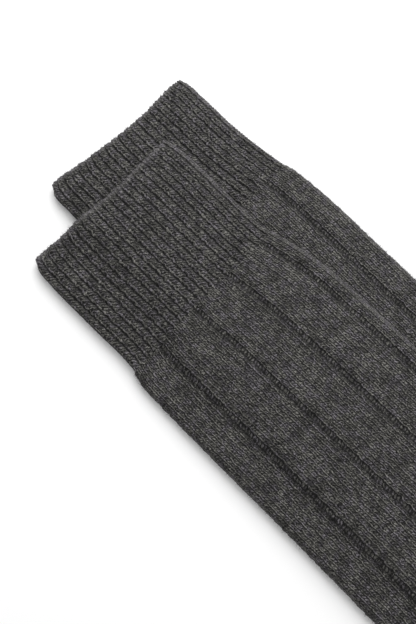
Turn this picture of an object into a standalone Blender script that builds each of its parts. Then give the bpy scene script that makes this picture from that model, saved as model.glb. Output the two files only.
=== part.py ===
"""A pair of ribbed mid-calf socks laid flat, the top sock shifted down and to the left of the under sock.

Each sock is a knitted tube pressed flat: a wall of cloth with a plain inside, open at the mouth and
closed at the toe, and one solid for each knitted zone: ribbed cuff, leg, foot with its heel, and toe.
Sizes are in millimetres. A sock's own frame has X from the back of the leg to the front, Y up the leg
towards the mouth, Z up from the table, and its origin in the middle of the leg where the rib ends.
"""

import math
from collections import namedtuple

import bmesh
import bpy
import numpy as np
from mathutils import Matrix

MM = 0.001

# Cloth
FLAT_THICKNESS = 5.2  # both walls and the slit between them
SLIT = 0.6  # the flat hollow between the two walls
FOLD_RADIUS = 3.4  # how far from the outline the folded edge rounds over
CROWN = 0.8  # rise of the middle over the folded edges
CROWN_REACH = 16.0  # distance from the outline over which the crown rises
INNER_INSET = 2.6  # wall at a folded edge
SEAM_GAP = 0.3  # between the solids of two zones

# Knitted relief, cut down from the wall's full thickness on the face that shows
RIBS_PER_FACE = 22
RIB_DEPTH = 1.15
RIB_PITCH = 3.95
RIB_NARROWING = 0.8  # how much closer the ribs are at the front edge
NARROWED_RIBS = 7
RIB_STOPS = ((0.0, 1.0), (0.2, 0.22), (0.5, 0.0), (0.8, 0.22))  # share of a rib, share of depth
MOUTH_SCALLOP = 0.8  # how far each rib reaches past the grooves at the mouth
MOUTH_CORNER = 1.7  # how far the mouth draws back at its folded edges
MOUTH_CORNER_LENGTH = 5.0  # how far down the cuff that fades out
LIP_ROUNDING = 0.6
LIP_LENGTH = 0.9
DITCH_DEPTH = 0.95
DITCH_STOPS = ((-2.3, 0.0), (-0.9, 1.0), (0.9, 1.0), (2.3, 0.0))  # offset, share of depth
RELIEF_FADE = 3.0  # relief dies out this near a folded edge

# Points of a ring
PANEL_STOPS = 3  # across each smooth panel
EDGE_STOPS = (0.0, 0.6, 1.8, 3.6)  # from a folded edge
INNER_STOPS = 8

# Leg
LEG_WIDTH = 93.6
DITCH_PITCH = 22.75  # eight smooth panels round the leg
FOOT_ANGLE = math.radians(10.0)  # the foot points this far below square to the leg

# Sock on sock
DRAPE_OUTSIDE = 12.0  # the top sock leaves the table this far outside the under sock's edge
DRAPE_INSIDE = 4.0  # and lies fully on it this far inside
REST_GAP = 0.5

YARN_COLOUR = (0.055, 0.054, 0.052, 1.0)
RIB_COLOUR = (0.050, 0.049, 0.048, 1.0)

ZONES = ("cuff", "leg", "foot", "toe")

# One row for each section line across the flat sock, from the mouth down. middle is the share of
# the line, from the front, where the middle of the face lies; it is under a half round the heel.
# rings is how many rings lead from a row to the next.
Section = namedtuple("Section", "zone front_x front_y back_x back_y middle rings")
LEG_SECTIONS = (
    Section("cuff", 40.0, 66.0, -41.2, 66.0, 0.5, 1),
    Section("cuff", 41.0, 61.0, -43.2, 61.0, 0.5, 1),
    Section("cuff", 41.6, 52.0, -44.2, 52.0, 0.5, 2),
    Section("cuff", 41.2, 30.0, -44.0, 29.0, 0.5, 2),
    Section("leg", 41.8, 2.8, -43.7, 0.4, 0.5, 1),
    Section("leg", 43.2, -3.5, -45.4, -6.0, 0.5, 1),
    Section("leg", 45.6, -17.0, -46.5, -18.0, 0.5, 2),
    Section("leg", 46.8, -50.0, -46.8, -54.0, 0.5, 2),
    Section("leg", 46.9, -82.0, -46.7, -98.0, 0.5, 2),
    Section("leg", 46.8, -101.0, -46.6, -136.0, 0.5, 2),
    Section("foot", 46.8, -112.0, -46.3, -163.0, 0.5, 2),
    Section("foot", 47.3, -118.0, -44.8, -180.0, 0.49, 2),
    Section("foot", 48.9, -122.8, -40.2, -193.5, 0.47, 2),
    Section("foot", 51.8, -127.0, -31.5, -204.5, 0.45, 2),
    Section("foot", 56.2, -130.6, -18.0, -212.0, 0.45, 2),
    Section("foot", 62.4, -133.6, 1.0, -217.0, 0.46, 2),
    Section("foot", 70.0, -135.8, 24.0, -221.2, 0.48, 2),
)
# The rows beyond the heel, measured along the foot and square to it.
FootSection = namedtuple("FootSection", "zone front_along instep back_along sole middle rings")
FOOT_SECTIONS = (
    FootSection("foot", 106.0, -122.6, 82.0, -214.2, 0.5, 1),
    FootSection("foot", 120.0, -123.6, 104.0, -214.2, 0.5, 2),
    FootSection("foot", 146.0, -124.6, 138.0, -213.6, 0.5, 2),
    FootSection("foot", 168.0, -125.2, 166.0, -212.8, 0.5, 1),
    FootSection("toe", 190.0, -126.4, 190.0, -211.4, 0.5, 1),
    FootSection("toe", 204.0, -128.6, 204.0, -209.6, 0.5, 2),
    FootSection("toe", 217.0, -133.6, 217.0, -205.4, 0.5, 2),
    FootSection("toe", 226.0, -140.8, 226.0, -199.0, 0.5, 2),
    FootSection("toe", 231.4, -149.6, 231.4, -190.6, 0.5, 1),
    FootSection("toe", 233.2, -157.0, 233.2, -182.0, 0.5, 0),
)
TOE_INNER_END = 229.8  # how far along the foot the hollow reaches
TOE_INNER_STEP = 3.6  # least distance to the hollow's last ring
OUTLINE_SAMPLES = 12  # points of the outline from one row to the next
BEYOND_MOUTH = 12.0
BEYOND_TIP = 0.6

# How far a sock's two edges lie in front of the table above, row by row from the mouth.
EdgeShift = namedtuple("EdgeShift", "front back")
UNDER_SHIFTS = (
    EdgeShift(0.4, 1.2),
    EdgeShift(0.5, 1.0),
    EdgeShift(0.0, 1.8),
    EdgeShift(0.5, 1.6),
    EdgeShift(3.0, 1.0),
    EdgeShift(2.6, 1.0),
    EdgeShift(1.2, 0.0),
    EdgeShift(0.0, -0.2),
    EdgeShift(-0.2, -0.4),
)
TOP_SHIFTS = (
    EdgeShift(-1.0, -0.8),
    EdgeShift(-1.0, -0.6),
    EdgeShift(-1.0, -0.3),
    EdgeShift(-1.0, -0.5),
    EdgeShift(-0.9, -1.1),
    EdgeShift(-0.8, -0.6),
    EdgeShift(-0.7, 0.2),
    EdgeShift(-0.6, 0.5),
    EdgeShift(-0.4, 0.8),
    EdgeShift(-0.2, 0.6),
)

# How far a sock's mouth lies above its first row, at even steps from the front edge to the back.
UNDER_MOUTH = (2.4, 2.0, 0.5, -0.1, -0.2, 0.4, 0.9, 2.2, 3.0)
TOP_MOUTH = (1.8, 1.1, 0.2, -0.7, -0.9, 0.3, 1.5, 2.1, 2.5)

# One row for each sock: where it lies, how far it is turned, how far its first ditch is from the
# front edge, how fine its underside is, and its mouth and edges.
SockRow = namedtuple("SockRow", "name x y turn_deg first_ditch underside_stops mouth_rises shifts")
UNDER_SOCK = SockRow("under_sock", 28.9, 22.0, 1.0, 13.7, 10, UNDER_MOUTH, UNDER_SHIFTS)
TOP_SOCK = SockRow("top_sock", 2.8, 1.2, 0.0, 7.6, 26, TOP_MOUTH, TOP_SHIFTS)


def smoothstep(x):
    """0 below 0, 1 above 1, and smooth between."""
    x = np.clip(x, 0.0, 1.0)
    return x * x * (3.0 - 2.0 * x)


def foot_point(along, square):
    """Own-frame point of a place measured along the foot and square to it."""
    cosine, sine = math.cos(FOOT_ANGLE), math.sin(FOOT_ANGLE)
    return along * cosine + square * sine, -along * sine + square * cosine


def moved_on(row, gap):
    """A section line moved square to itself, towards the toe."""
    run = row[2:4] - row[:2]
    towards_toe = np.array([-run[1], run[0]]) / np.linalg.norm(run)
    return row + gap * np.concatenate([towards_toe, towards_toe, [0.0]])


def fold_round(distance):
    """How far open a folded edge is at a distance from the outline, from 0 to 1."""
    return np.sqrt(1.0 - (1.0 - np.clip(distance / FOLD_RADIUS, 0.0, 1.0)) ** 2)


def crown(distance):
    """Rise of the upper wall at a distance from the outline."""
    return CROWN * smoothstep((distance - INNER_INSET) / CROWN_REACH)


def upper_height(distance):
    """Height of the face that shows, before any relief."""
    half = FLAT_THICKNESS / 2
    return half + half * fold_round(distance) + crown(distance)


def across(row, from_front):
    """Own-frame points of one section line, at distances from the front on a full-width leg."""
    share = np.asarray(from_front, float) / LEG_WIDTH
    middle = row[4]
    share = np.where(
        share <= 0.5, 2.0 * middle * share, middle + (2.0 * share - 1.0) * (1.0 - middle)
    )
    return row[:2] + share[:, None] * (row[2:4] - row[:2])


class Sock:
    """One sock's outline and heights in its own frame, and its place on the table."""

    def __init__(self, row, rests_on=None):
        """rests_on is the sock underneath, if there is one."""
        self.row = row
        self.rests_on = rests_on
        self.lines = self.section_lines()
        steps = np.diff(self.lines, axis=0)
        lengths = 0.5 * (np.hypot(*steps.T[:2]) + np.hypot(*steps.T[2:4]))
        self.places = np.concatenate([[0.0], np.cumsum(lengths)])
        self.outline = self.outline_chain()

    def section_lines(self):
        """front_x, front_y, back_x, back_y and middle for every row of both tables."""
        lines = [(r.front_x, r.front_y, r.back_x, r.back_y, r.middle) for r in LEG_SECTIONS]
        for r in FOOT_SECTIONS:
            front = foot_point(r.front_along, r.instep)
            lines.append(front + foot_point(r.back_along, r.sole) + (r.middle,))
        lines = np.array(lines)
        for line, shift in zip(lines, self.row.shifts):
            line[0] += shift.front
            line[2] += shift.back
        return lines

    def lines_at(self, places):
        """Section lines at any places along the sock, on a smooth curve through the rows."""
        places = np.atleast_1d(np.asarray(places, float))
        slopes = np.gradient(self.lines, self.places, axis=0)
        k = np.searchsorted(self.places, places, side="right") - 1
        k = np.clip(k, 0, len(self.places) - 2)
        span = (self.places[k + 1] - self.places[k])[:, None]
        t = (places[:, None] - self.places[k][:, None]) / span
        return (
            (2 * t**3 - 3 * t**2 + 1) * self.lines[k]
            + (t**3 - 2 * t**2 + t) * span * slopes[k]
            + (3 * t**2 - 2 * t**3) * self.lines[k + 1]
            + (t**3 - t**2) * span * slopes[k + 1]
        )

    def outline_chain(self):
        """Points down the front edge, round the toe and back up the back edge.

        The chain stays open at the mouth and starts above it, so the mouth itself isn't an edge.
        It passes just beyond the last row, which is the flat tip of the toe.
        """
        spans = zip(self.places, self.places[1:])
        places = [np.linspace(a, b, OUTLINE_SAMPLES, endpoint=False) for a, b in spans]
        lines = self.lines_at(np.concatenate(places + [self.places[-1:]]))
        first, last = moved_on(lines[0], -BEYOND_MOUTH), moved_on(lines[-1], BEYOND_TIP)
        lines = np.vstack([first, lines, last])
        return np.concatenate([lines[:, :2], lines[::-1, 2:4]])

    def inside_distance(self, points):
        """Distance of own-frame points from the outline, positive inside and negative outside."""
        a, b = self.outline[:-1], self.outline[1:]
        run = b - a
        to_point = points[:, None, :] - a[None]
        share = np.clip((to_point * run).sum(2) / (run * run).sum(1), 0.0, 1.0)
        distance = np.linalg.norm(to_point - share[..., None] * run, axis=2).min(1)
        x, y = points[:, :1], points[:, 1:]
        start, end = self.outline, np.roll(self.outline, -1, axis=0)
        rise = end[:, 1] - start[:, 1]
        rise = np.where(rise == 0.0, 1e-9, rise)
        crosses = (start[:, 1] > y) != (end[:, 1] > y)
        at = start[:, 0] + (y - start[:, 1]) / rise * (end - start)[:, 0]
        is_inside = (crosses & (x < at)).sum(1) % 2 == 1
        return np.where(is_inside, distance, -distance)

    def on_table(self, points):
        """Table points of own-frame points."""
        turn = math.radians(self.row.turn_deg)
        x, y = points[:, 0], points[:, 1]
        return np.column_stack(
            [
                self.row.x + x * math.cos(turn) + y * math.sin(turn),
                self.row.y - x * math.sin(turn) + y * math.cos(turn),
            ]
        )

    def from_table(self, points):
        """Own-frame points of table points."""
        turn = math.radians(self.row.turn_deg)
        x, y = points[:, 0] - self.row.x, points[:, 1] - self.row.y
        return np.column_stack(
            [x * math.cos(turn) - y * math.sin(turn), x * math.sin(turn) + y * math.cos(turn)]
        )

    def lift(self, points):
        """How far the sock underneath raises this one at own-frame points."""
        if self.rests_on is None:
            return np.zeros(len(points))
        below = self.rests_on
        distance = below.inside_distance(below.from_table(self.on_table(points)))
        drape = smoothstep((distance + DRAPE_OUTSIDE) / (DRAPE_OUTSIDE + DRAPE_INSIDE))
        return (upper_height(np.maximum(distance, DRAPE_INSIDE)) + REST_GAP) * drape

    def with_height(self, flat, height):
        """Points of a ring, raised where the sock lies on the other one."""
        return np.column_stack([flat, height + self.lift(flat)])

    def mouth_shift(self, share, line):
        """How far up the leg points near the mouth lie from their row."""
        rises = self.row.mouth_rises
        rise = np.interp(share, np.linspace(0.0, 1.0, len(rises)), rises)
        return smoothstep(line[1] / LEG_SECTIONS[0].front_y) * rise


def mouth_corner(line, distance):
    """How far points of a row draw back from the mouth at the folded edges."""
    from_mouth = LEG_SECTIONS[0].front_y - line[1]
    near = smoothstep(1.0 - from_mouth / MOUTH_CORNER_LENGTH)
    return near * MOUTH_CORNER * (1.0 - fold_round(distance))


def rib_stops():
    """Stops across the cuff's ribs, as pairs of from_front and depth. The ribs narrow to the front."""
    ribs = np.arange(RIBS_PER_FACE)
    pitches = RIB_PITCH - RIB_NARROWING * (1.0 - smoothstep(ribs / NARROWED_RIBS))
    grooves = np.concatenate([[0.0], np.cumsum(pitches)])
    grooves *= LEG_WIDTH / grooves[-1]
    stops = [(0.0, 0.0), (LEG_WIDTH, 0.0)]
    for start, end in zip(grooves, grooves[1:]):
        for share, depth in RIB_STOPS:
            at = start + share * (end - start)
            if at > 0.0:
                stops.append((at, depth * RIB_DEPTH))
    return stops


def ditch_stops(first_ditch, ditched_width):
    """Stops across smooth panels and the ditches between them, in the front part of the face."""
    stops = [(s, 0.0) for s in EDGE_STOPS] + [(LEG_WIDTH - s, 0.0) for s in EDGE_STOPS]
    panel_edges = [EDGE_STOPS[-1]]
    for ditch in first_ditch + DITCH_PITCH * np.arange(4):
        if ditch > ditched_width:
            continue
        for offset, depth in DITCH_STOPS:
            if ditch + offset > EDGE_STOPS[-1] + 0.5:
                stops.append((ditch + offset, depth * DITCH_DEPTH))
        panel_edges += [ditch + DITCH_STOPS[0][0], ditch + DITCH_STOPS[-1][0]]
    panel_edges.append(LEG_WIDTH - EDGE_STOPS[-1])
    for start, end in zip(panel_edges[::2], panel_edges[1::2]):
        if end - start > DITCH_PITCH / 4:
            count = PANEL_STOPS * max(1, round((end - start) / DITCH_PITCH))
            stops += [(s, 0.0) for s in np.linspace(start, end, count + 2)[1:-1]]
    return stops


def upper_stops(sock, zone):
    """Stops of the face that shows, from the front edge to the back edge."""
    if zone == "cuff":
        stops = rib_stops()
    else:
        ditched = {"leg": LEG_WIDTH, "foot": LEG_WIDTH / 2, "toe": 0.0}[zone]
        stops = ditch_stops(sock.row.first_ditch, ditched)
    return np.array(sorted(set(stops)))


def lower_stops(count):
    """Stops of the plain underside, from the back edge to the front edge, without the edges."""
    inner = np.linspace(EDGE_STOPS[-1], LEG_WIDTH - EDGE_STOPS[-1], count)
    edge = np.array(EDGE_STOPS[1:-1])
    return np.concatenate([LEG_WIDTH - edge, inner[::-1], edge[::-1]])


def outer_ring(sock, zone, line, lip=0.0):
    """One closed ring of the wall's outside, and each point's share of the way round.

    lip is 1 on the mouth's own ring, which is rounded and scalloped, and 0 elsewhere.
    """
    upper, lower = upper_stops(sock, zone), lower_stops(sock.row.underside_stops)
    from_front = np.concatenate([upper[:, 0], lower])
    flat = across(line, from_front)
    share = from_front / LEG_WIDTH
    distance = np.maximum(sock.inside_distance(flat), 0.0)
    distance[[0, len(upper) - 1]] = 0.0
    is_upper = np.arange(len(flat)) < len(upper)
    half = FLAT_THICKNESS / 2
    relief = np.zeros(len(flat))
    relief[: len(upper)] = upper[:, 1] * smoothstep(distance[: len(upper)] / RELIEF_FADE)
    above = upper_height(distance) - relief - lip * LIP_ROUNDING * fold_round(distance)
    below = half - (half - lip * LIP_ROUNDING) * fold_round(distance)
    flat[:, 1] += sock.mouth_shift(share, line) - mouth_corner(line, distance)
    flat[:, 1] += lip * MOUTH_SCALLOP * (1.0 - relief / RIB_DEPTH)
    round_share = np.where(is_upper, 0.5 * share, 1.0 - 0.5 * share)
    return sock.with_height(flat, np.where(is_upper, above, below)), round_share


def inner_ring(sock, line):
    """One closed ring of the plain inside, and each point's share of the way round."""
    inset = INNER_INSET / np.linalg.norm(line[2:4] - line[:2])
    shares = inset + (1.0 - 2.0 * inset) * np.linspace(0.0, 1.0, INNER_STOPS)
    share = np.concatenate([shares, shares[-2:0:-1]])
    flat = line[:2] + share[:, None] * (line[2:4] - line[:2])
    distance = np.maximum(sock.inside_distance(flat), 0.0)
    half = FLAT_THICKNESS / 2
    index = np.arange(len(flat))
    is_upper = index < INNER_STOPS
    height = np.where(is_upper, half + SLIT / 2 + crown(distance), half - SLIT / 2)
    height[[0, INNER_STOPS - 1]] = half
    flat[:, 1] += sock.mouth_shift(share, line) - mouth_corner(line, distance)
    round_share = np.where(is_upper, 0.5 * share, 1.0 - 0.5 * share)
    return sock.with_height(flat, height), round_share


def zone_lines(sock, zone):
    """Section lines of one zone's rings, to the next zone's first, with the seam's gap before it."""
    rows = LEG_SECTIONS + FOOT_SECTIONS
    in_zone = [index for index, row in enumerate(rows) if row.zone == zone]
    places = []
    for index in in_zone:
        end = min(index + 1, len(rows) - 1)
        count = max(rows[index].rings, 1)
        places += list(
            np.linspace(sock.places[index], sock.places[end], count, endpoint=False)
        )
    if zone != "toe":
        places.append(sock.places[in_zone[-1] + 1])
    if zone == "cuff":
        places.insert(1, LIP_LENGTH)
    lines = sock.lines_at(places)
    if zone != "cuff":
        lines[0] = moved_on(lines[0], SEAM_GAP)
    return lines


def toe_inner_lines(lines):
    """Section lines of the toe's hollow, which ends short of the tip."""
    along = lines[:, 0] * math.cos(FOOT_ANGLE) - lines[:, 1] * math.sin(FOOT_ANGLE)
    kept = list(lines[along < TOE_INNER_END - TOE_INNER_STEP])
    last = [np.interp(TOE_INNER_END, along, column) for column in lines.T]
    return np.array(kept + [last])


def loft_faces(first, rings, count):
    """Quads between successive rings of count points, numbered from first."""
    faces = []
    for ring in range(rings - 1):
        start = first + ring * count
        for k in range(count):
            after = (k + 1) % count
            faces.append((start + k, start + after, start + count + after, start + count + k))
    return faces


def zip_faces(outer_first, outer_share, inner_first, inner_share):
    """Triangles of a flat end, between an outer ring and an inner ring of other point counts."""
    faces, i, j = [], 0, 0
    outer_count, inner_count = len(outer_share), len(inner_share)
    outer_next = np.append(outer_share, 1.0)
    inner_next = np.append(inner_share, 1.0)
    while i < outer_count or j < inner_count:
        outer_now = outer_first + i % outer_count
        inner_now = inner_first + j % inner_count
        step_outer = j == inner_count or (
            i < outer_count and outer_next[i + 1] <= inner_next[j + 1]
        )
        if step_outer:
            i += 1
            faces.append((outer_now, outer_first + i % outer_count, inner_now))
        else:
            j += 1
            faces.append((outer_now, inner_first + j % inner_count, inner_now))
    return faces


def zone_mesh(sock, zone):
    """Vertices and faces of one zone's closed wall."""
    lines = zone_lines(sock, zone)
    outer = []
    for index, line in enumerate(lines):
        is_mouth = zone == "cuff" and index == 0
        outer.append(outer_ring(sock, zone, line, lip=1.0 if is_mouth else 0.0))
    inner_lines = toe_inner_lines(lines) if zone == "toe" else lines
    inner = [inner_ring(sock, line) for line in inner_lines]
    outer_count, inner_count = len(outer[0][0]), len(inner[0][0])
    inner_first = outer_count * len(outer)
    vertices = np.concatenate([ring for ring, _ in outer + inner])
    faces = loft_faces(0, len(outer), outer_count)
    faces += loft_faces(inner_first, len(inner), inner_count)
    faces += zip_faces(0, outer[0][1], inner_first, inner[0][1])
    outer_last = outer_count * (len(outer) - 1)
    inner_last = inner_first + inner_count * (len(inner) - 1)
    if zone == "toe":
        faces.append(tuple(range(outer_last, outer_last + outer_count)))
        faces.append(tuple(range(inner_last, inner_last + inner_count)))
    else:
        faces += zip_faces(outer_last, outer[-1][1], inner_last, inner[-1][1])
    return vertices, faces


def yarn_material(name, colour):
    """Matt wool of one colour."""
    material = bpy.data.materials.new(name)
    material.use_nodes = True
    shader = material.node_tree.nodes["Principled BSDF"]
    shader.inputs["Base Color"].default_value = colour
    shader.inputs["Roughness"].default_value = 0.95
    shader.inputs["Metallic"].default_value = 0.0
    return material


def add_zone(sock, zone, material, parent, collection):
    """One zone's object, placed by its sock's empty."""
    vertices, faces = zone_mesh(sock, zone)
    name = f"{sock.row.name}_{zone}"
    mesh = bpy.data.meshes.new(name)
    mesh.from_pydata((vertices * MM).tolist(), [], faces)
    form = bmesh.new()
    form.from_mesh(mesh)
    bmesh.ops.recalc_face_normals(form, faces=form.faces[:])
    bmesh.ops.triangulate(form, faces=[f for f in form.faces if len(f.verts) > 4])
    form.to_mesh(mesh)
    form.free()
    mesh.materials.append(material)
    mesh.shade_smooth()
    mesh.set_sharp_from_angle(angle=math.radians(50.0))
    piece = bpy.data.objects.new(name, mesh)
    piece.parent = parent
    collection.objects.link(piece)


def pair_centre(socks):
    """Table point in the middle of the pair's bounding box, for the part's origin."""
    points = [
        sock.on_table(zone_mesh(sock, zone)[0][:, :2]) for sock in socks for zone in ZONES
    ]
    points = np.concatenate(points)
    return (points.min(0) + points.max(0)) / 2


def main():
    """Clears the scene and builds both socks."""
    for old in list(bpy.data.objects):
        bpy.data.objects.remove(old)
    collection = bpy.data.collections.new("pair_of_socks")
    bpy.context.scene.collection.children.link(collection)
    plain = yarn_material("charcoal_plain_knit", YARN_COLOUR)
    ribbed = yarn_material("charcoal_rib_knit", RIB_COLOUR)
    under = Sock(UNDER_SOCK)
    socks = (under, Sock(TOP_SOCK, rests_on=under))
    centre = pair_centre(socks)
    for sock in socks:
        place = bpy.data.objects.new(f"{sock.row.name}_place", None)
        turn = Matrix.Rotation(-math.radians(sock.row.turn_deg), 4, "Z")
        corner = ((sock.row.x - centre[0]) * MM, (sock.row.y - centre[1]) * MM, 0.0)
        place.matrix_world = Matrix.Translation(corner) @ turn
        collection.objects.link(place)
        for zone in ZONES:
            add_zone(sock, zone, ribbed if zone == "cuff" else plain, place, collection)


main()
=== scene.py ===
"""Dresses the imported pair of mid-calf socks as charcoal marl knitwear laid flat on a white table.

Each knitted zone of each sock (cuff, leg, foot, toe) is a closed wall of cloth: an outside with
its stitches, ribs, sunk purl wales, crown, folded edges and loose fibres, and a plain inside.
Procedural materials that follow the wales and courses give it its yarn.

Lengths are in millimetres until a mesh is made. A sock's own frame has X from the back of the leg
to the front, Y up the leg towards the mouth and Z up from the table. Wales are the columns of
stitches and courses are their rows.
"""

from __future__ import annotations

import logging
import math
from dataclasses import dataclass, field
from enum import Enum
from typing import TypeAlias

import bpy
import numpy as np
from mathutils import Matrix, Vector

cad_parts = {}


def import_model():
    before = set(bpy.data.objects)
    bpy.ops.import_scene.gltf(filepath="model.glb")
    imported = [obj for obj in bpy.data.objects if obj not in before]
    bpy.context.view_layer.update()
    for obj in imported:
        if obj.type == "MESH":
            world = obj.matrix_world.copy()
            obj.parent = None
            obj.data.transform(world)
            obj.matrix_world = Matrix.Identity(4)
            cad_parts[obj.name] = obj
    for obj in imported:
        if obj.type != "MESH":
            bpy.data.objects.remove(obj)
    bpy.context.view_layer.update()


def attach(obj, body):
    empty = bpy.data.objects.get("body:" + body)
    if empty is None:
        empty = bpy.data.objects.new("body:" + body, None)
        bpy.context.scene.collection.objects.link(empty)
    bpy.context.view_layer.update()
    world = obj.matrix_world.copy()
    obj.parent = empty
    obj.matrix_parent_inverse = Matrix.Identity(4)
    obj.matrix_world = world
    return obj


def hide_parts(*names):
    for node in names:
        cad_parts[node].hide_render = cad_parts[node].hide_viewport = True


LOG = logging.getLogger("socks")
MM = 0.001
ROW_ORIGIN = np.array([92.132, -74.230])  # table point at the row's origin
TARGET = Vector((-ROW_ORIGIN[0], -ROW_ORIGIN[1], 0.0)) * MM  # what the picture's middle shows
Array: TypeAlias = np.ndarray
Colour: TypeAlias = tuple[float, float, float, float]
Value: TypeAlias = "Signal | float | Colour"


class Zone(Enum):
    """The knitted zones of a sock, from the mouth down."""

    CUFF = "cuff"
    LEG = "leg"
    FOOT = "foot"
    TOE = "toe"


class Layer(Enum):
    """Which of the two socks."""

    UNDER = "under_sock"
    TOP = "top_sock"


def smoothstep(x: Array | float) -> Array:
    """0 below 0, 1 above 1, and smooth between."""
    x = np.clip(x, 0.0, 1.0)
    return x * x * (3.0 - 2.0 * x)


def running(steps: Array) -> Array:
    """The sums of steps so far, from 0."""
    return np.concatenate([[0.0], np.cumsum(steps)])


def placed(name: str, data: bpy.types.ID) -> bpy.types.Object:
    """Puts a mesh, light or camera into the scene.

    Args:
        name: The object's name.
        data: What it shows.

    Returns:
        The new object.
    """
    new = bpy.data.objects.new(name, data)
    bpy.context.scene.collection.objects.link(new)
    return new


@dataclass(frozen=True)
class Ripple:
    """Smooth seeded unevenness over a plane, made of a few waves."""

    seed: int
    wavelength: float
    height: float
    waves: int = 14

    def at(self, points: Array, stretch: float = 1.0) -> Array:
        """Height of the unevenness.

        Args:
            points: Points of the plane.
            stretch: How much shorter the waves are along Y than across it.

        Returns:
            One height for each point, mostly within plus or minus height.
        """
        random = np.random.default_rng(self.seed)
        x, y = points[:, 0], points[:, 1] * stretch
        total = np.zeros(len(points))
        for _ in range(self.waves):
            heading = random.uniform(0.0, math.tau)
            rate = math.tau / (self.wavelength * random.uniform(0.6, 1.7))
            phase = random.uniform(0.0, math.tau)
            total += np.sin(rate * (x * math.cos(heading) + y * math.sin(heading)) + phase)
        return self.height * total / math.sqrt(self.waves / 2)


@dataclass(frozen=True)
class SockSize:
    """Sizes that both socks share, as the solids have them."""

    leg_width: float = 93.6
    flat_thickness: float = 5.2
    slit: float = 0.6
    fold_radius: float = 3.4
    crown: float = 0.8
    crown_reach: float = 16.0
    inner_inset: float = 2.6
    foot_angle: float = math.radians(10.0)
    wale_pitch: float = 2.068
    course_pitch: float = 1.52
    panel_wales: int = 11
    panels: int = 8
    ribs: int = 22
    rib_depth: float = 1.2
    ditch_depth: float = 1.15
    stitch_depth: float = 0.34
    drape_outside: float = 12.0
    drape_inside: float = 4.0
    rest_gap: float = 0.5

    @property
    def half(self) -> float:
        """Half the flat thickness."""
        return self.flat_thickness / 2

    def foot_point(self, along: float, square: float) -> tuple[float, float]:
        """Own-frame point of a place measured along the foot and square to it."""
        cosine, sine = math.cos(self.foot_angle), math.sin(self.foot_angle)
        return along * cosine + square * sine, -along * sine + square * cosine

    def fold_round(self, distance: Array) -> Array:
        """How far open a folded edge is at a distance from the outline, from 0 to 1."""
        return np.sqrt(1.0 - (1.0 - np.clip(distance / self.fold_radius, 0.0, 1.0)) ** 2)

    def crown_at(self, distance: Array) -> Array:
        """Rise of the upper wall at a distance from the outline."""
        return self.crown * smoothstep((distance - self.inner_inset) / self.crown_reach)

    def upper_height(self, distance: Array) -> Array:
        """Height of the face that shows, before any relief."""
        return self.half * (1.0 + self.fold_round(distance)) + self.crown_at(distance)


SIZE = SockSize()
# Section lines across the flat sock from the mouth to the heel: X and Y of the front end and of the
# back end in the sock's own frame, and the share of the line's middle.
LEG_LINES = {
    Zone.CUFF: (
        (40.0, 66.0, -41.2, 66.0, 0.5),
        (41.0, 61.0, -43.2, 61.0, 0.5),
        (41.6, 52.0, -44.2, 52.0, 0.5),
        (41.2, 30.0, -44.0, 29.0, 0.5),
    ),
    Zone.LEG: (
        (41.8, 2.8, -43.7, 0.4, 0.5),
        (43.2, -3.5, -45.4, -6.0, 0.5),
        (45.6, -17.0, -46.5, -18.0, 0.5),
        (46.8, -50.0, -46.8, -54.0, 0.5),
        (46.9, -82.0, -46.7, -98.0, 0.5),
        (46.8, -101.0, -46.6, -136.0, 0.5),
    ),
    Zone.FOOT: (
        (46.8, -112.0, -46.3, -163.0, 0.5),
        (47.3, -118.0, -44.8, -180.0, 0.49),
        (48.9, -122.8, -40.2, -193.5, 0.47),
        (51.8, -127.0, -31.5, -204.5, 0.45),
        (56.2, -130.6, -18.0, -212.0, 0.45),
        (62.4, -133.6, 1.0, -217.0, 0.46),
        (70.0, -135.8, 24.0, -221.2, 0.48),
    ),
}
# The lines beyond the heel: places along the foot and square to it, at the instep and the sole.
FOOT_LINES = {
    Zone.FOOT: (
        (106.0, -122.6, 82.0, -214.2),
        (120.0, -123.6, 104.0, -214.2),
        (146.0, -124.6, 138.0, -213.6),
        (168.0, -125.2, 166.0, -212.8),
    ),
    Zone.TOE: (
        (190.0, -126.4, 190.0, -211.4),
        (204.0, -128.6, 204.0, -209.6),
        (217.0, -133.6, 217.0, -205.4),
        (226.0, -140.8, 226.0, -199.0),
        (231.4, -149.6, 231.4, -190.6),
        (233.2, -157.0, 233.2, -182.0),
    ),
}
LINES = [(zone, line) for zone, lines in LEG_LINES.items() for line in lines] + [
    (zone, (*SIZE.foot_point(*line[:2]), *SIZE.foot_point(*line[2:]), 0.5))
    for zone, lines in FOOT_LINES.items()
    for line in lines
]
MOUTH_Y = 66.0
BEYOND_MOUTH = 12.0
BEYOND_TIP = 0.6
OUTLINE_SAMPLES = 8


@dataclass(frozen=True)
class SockLay:
    """How one sock lies and where it departs from the shared lines.

    edge_shifts holds how far its front and back edges lie in front of the shared lines, row by
    row from the mouth. mouth_rises says how far the mouth lies above them at even steps from front
    to back. first_ditch is the first purl column's distance from the front edge.
    """

    layer: Layer
    place: tuple[float, float]
    turn: float
    mouth_rises: tuple[float, ...]
    first_ditch: float
    seed: int
    edge_shifts: tuple[tuple[float, float], ...]


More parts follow.
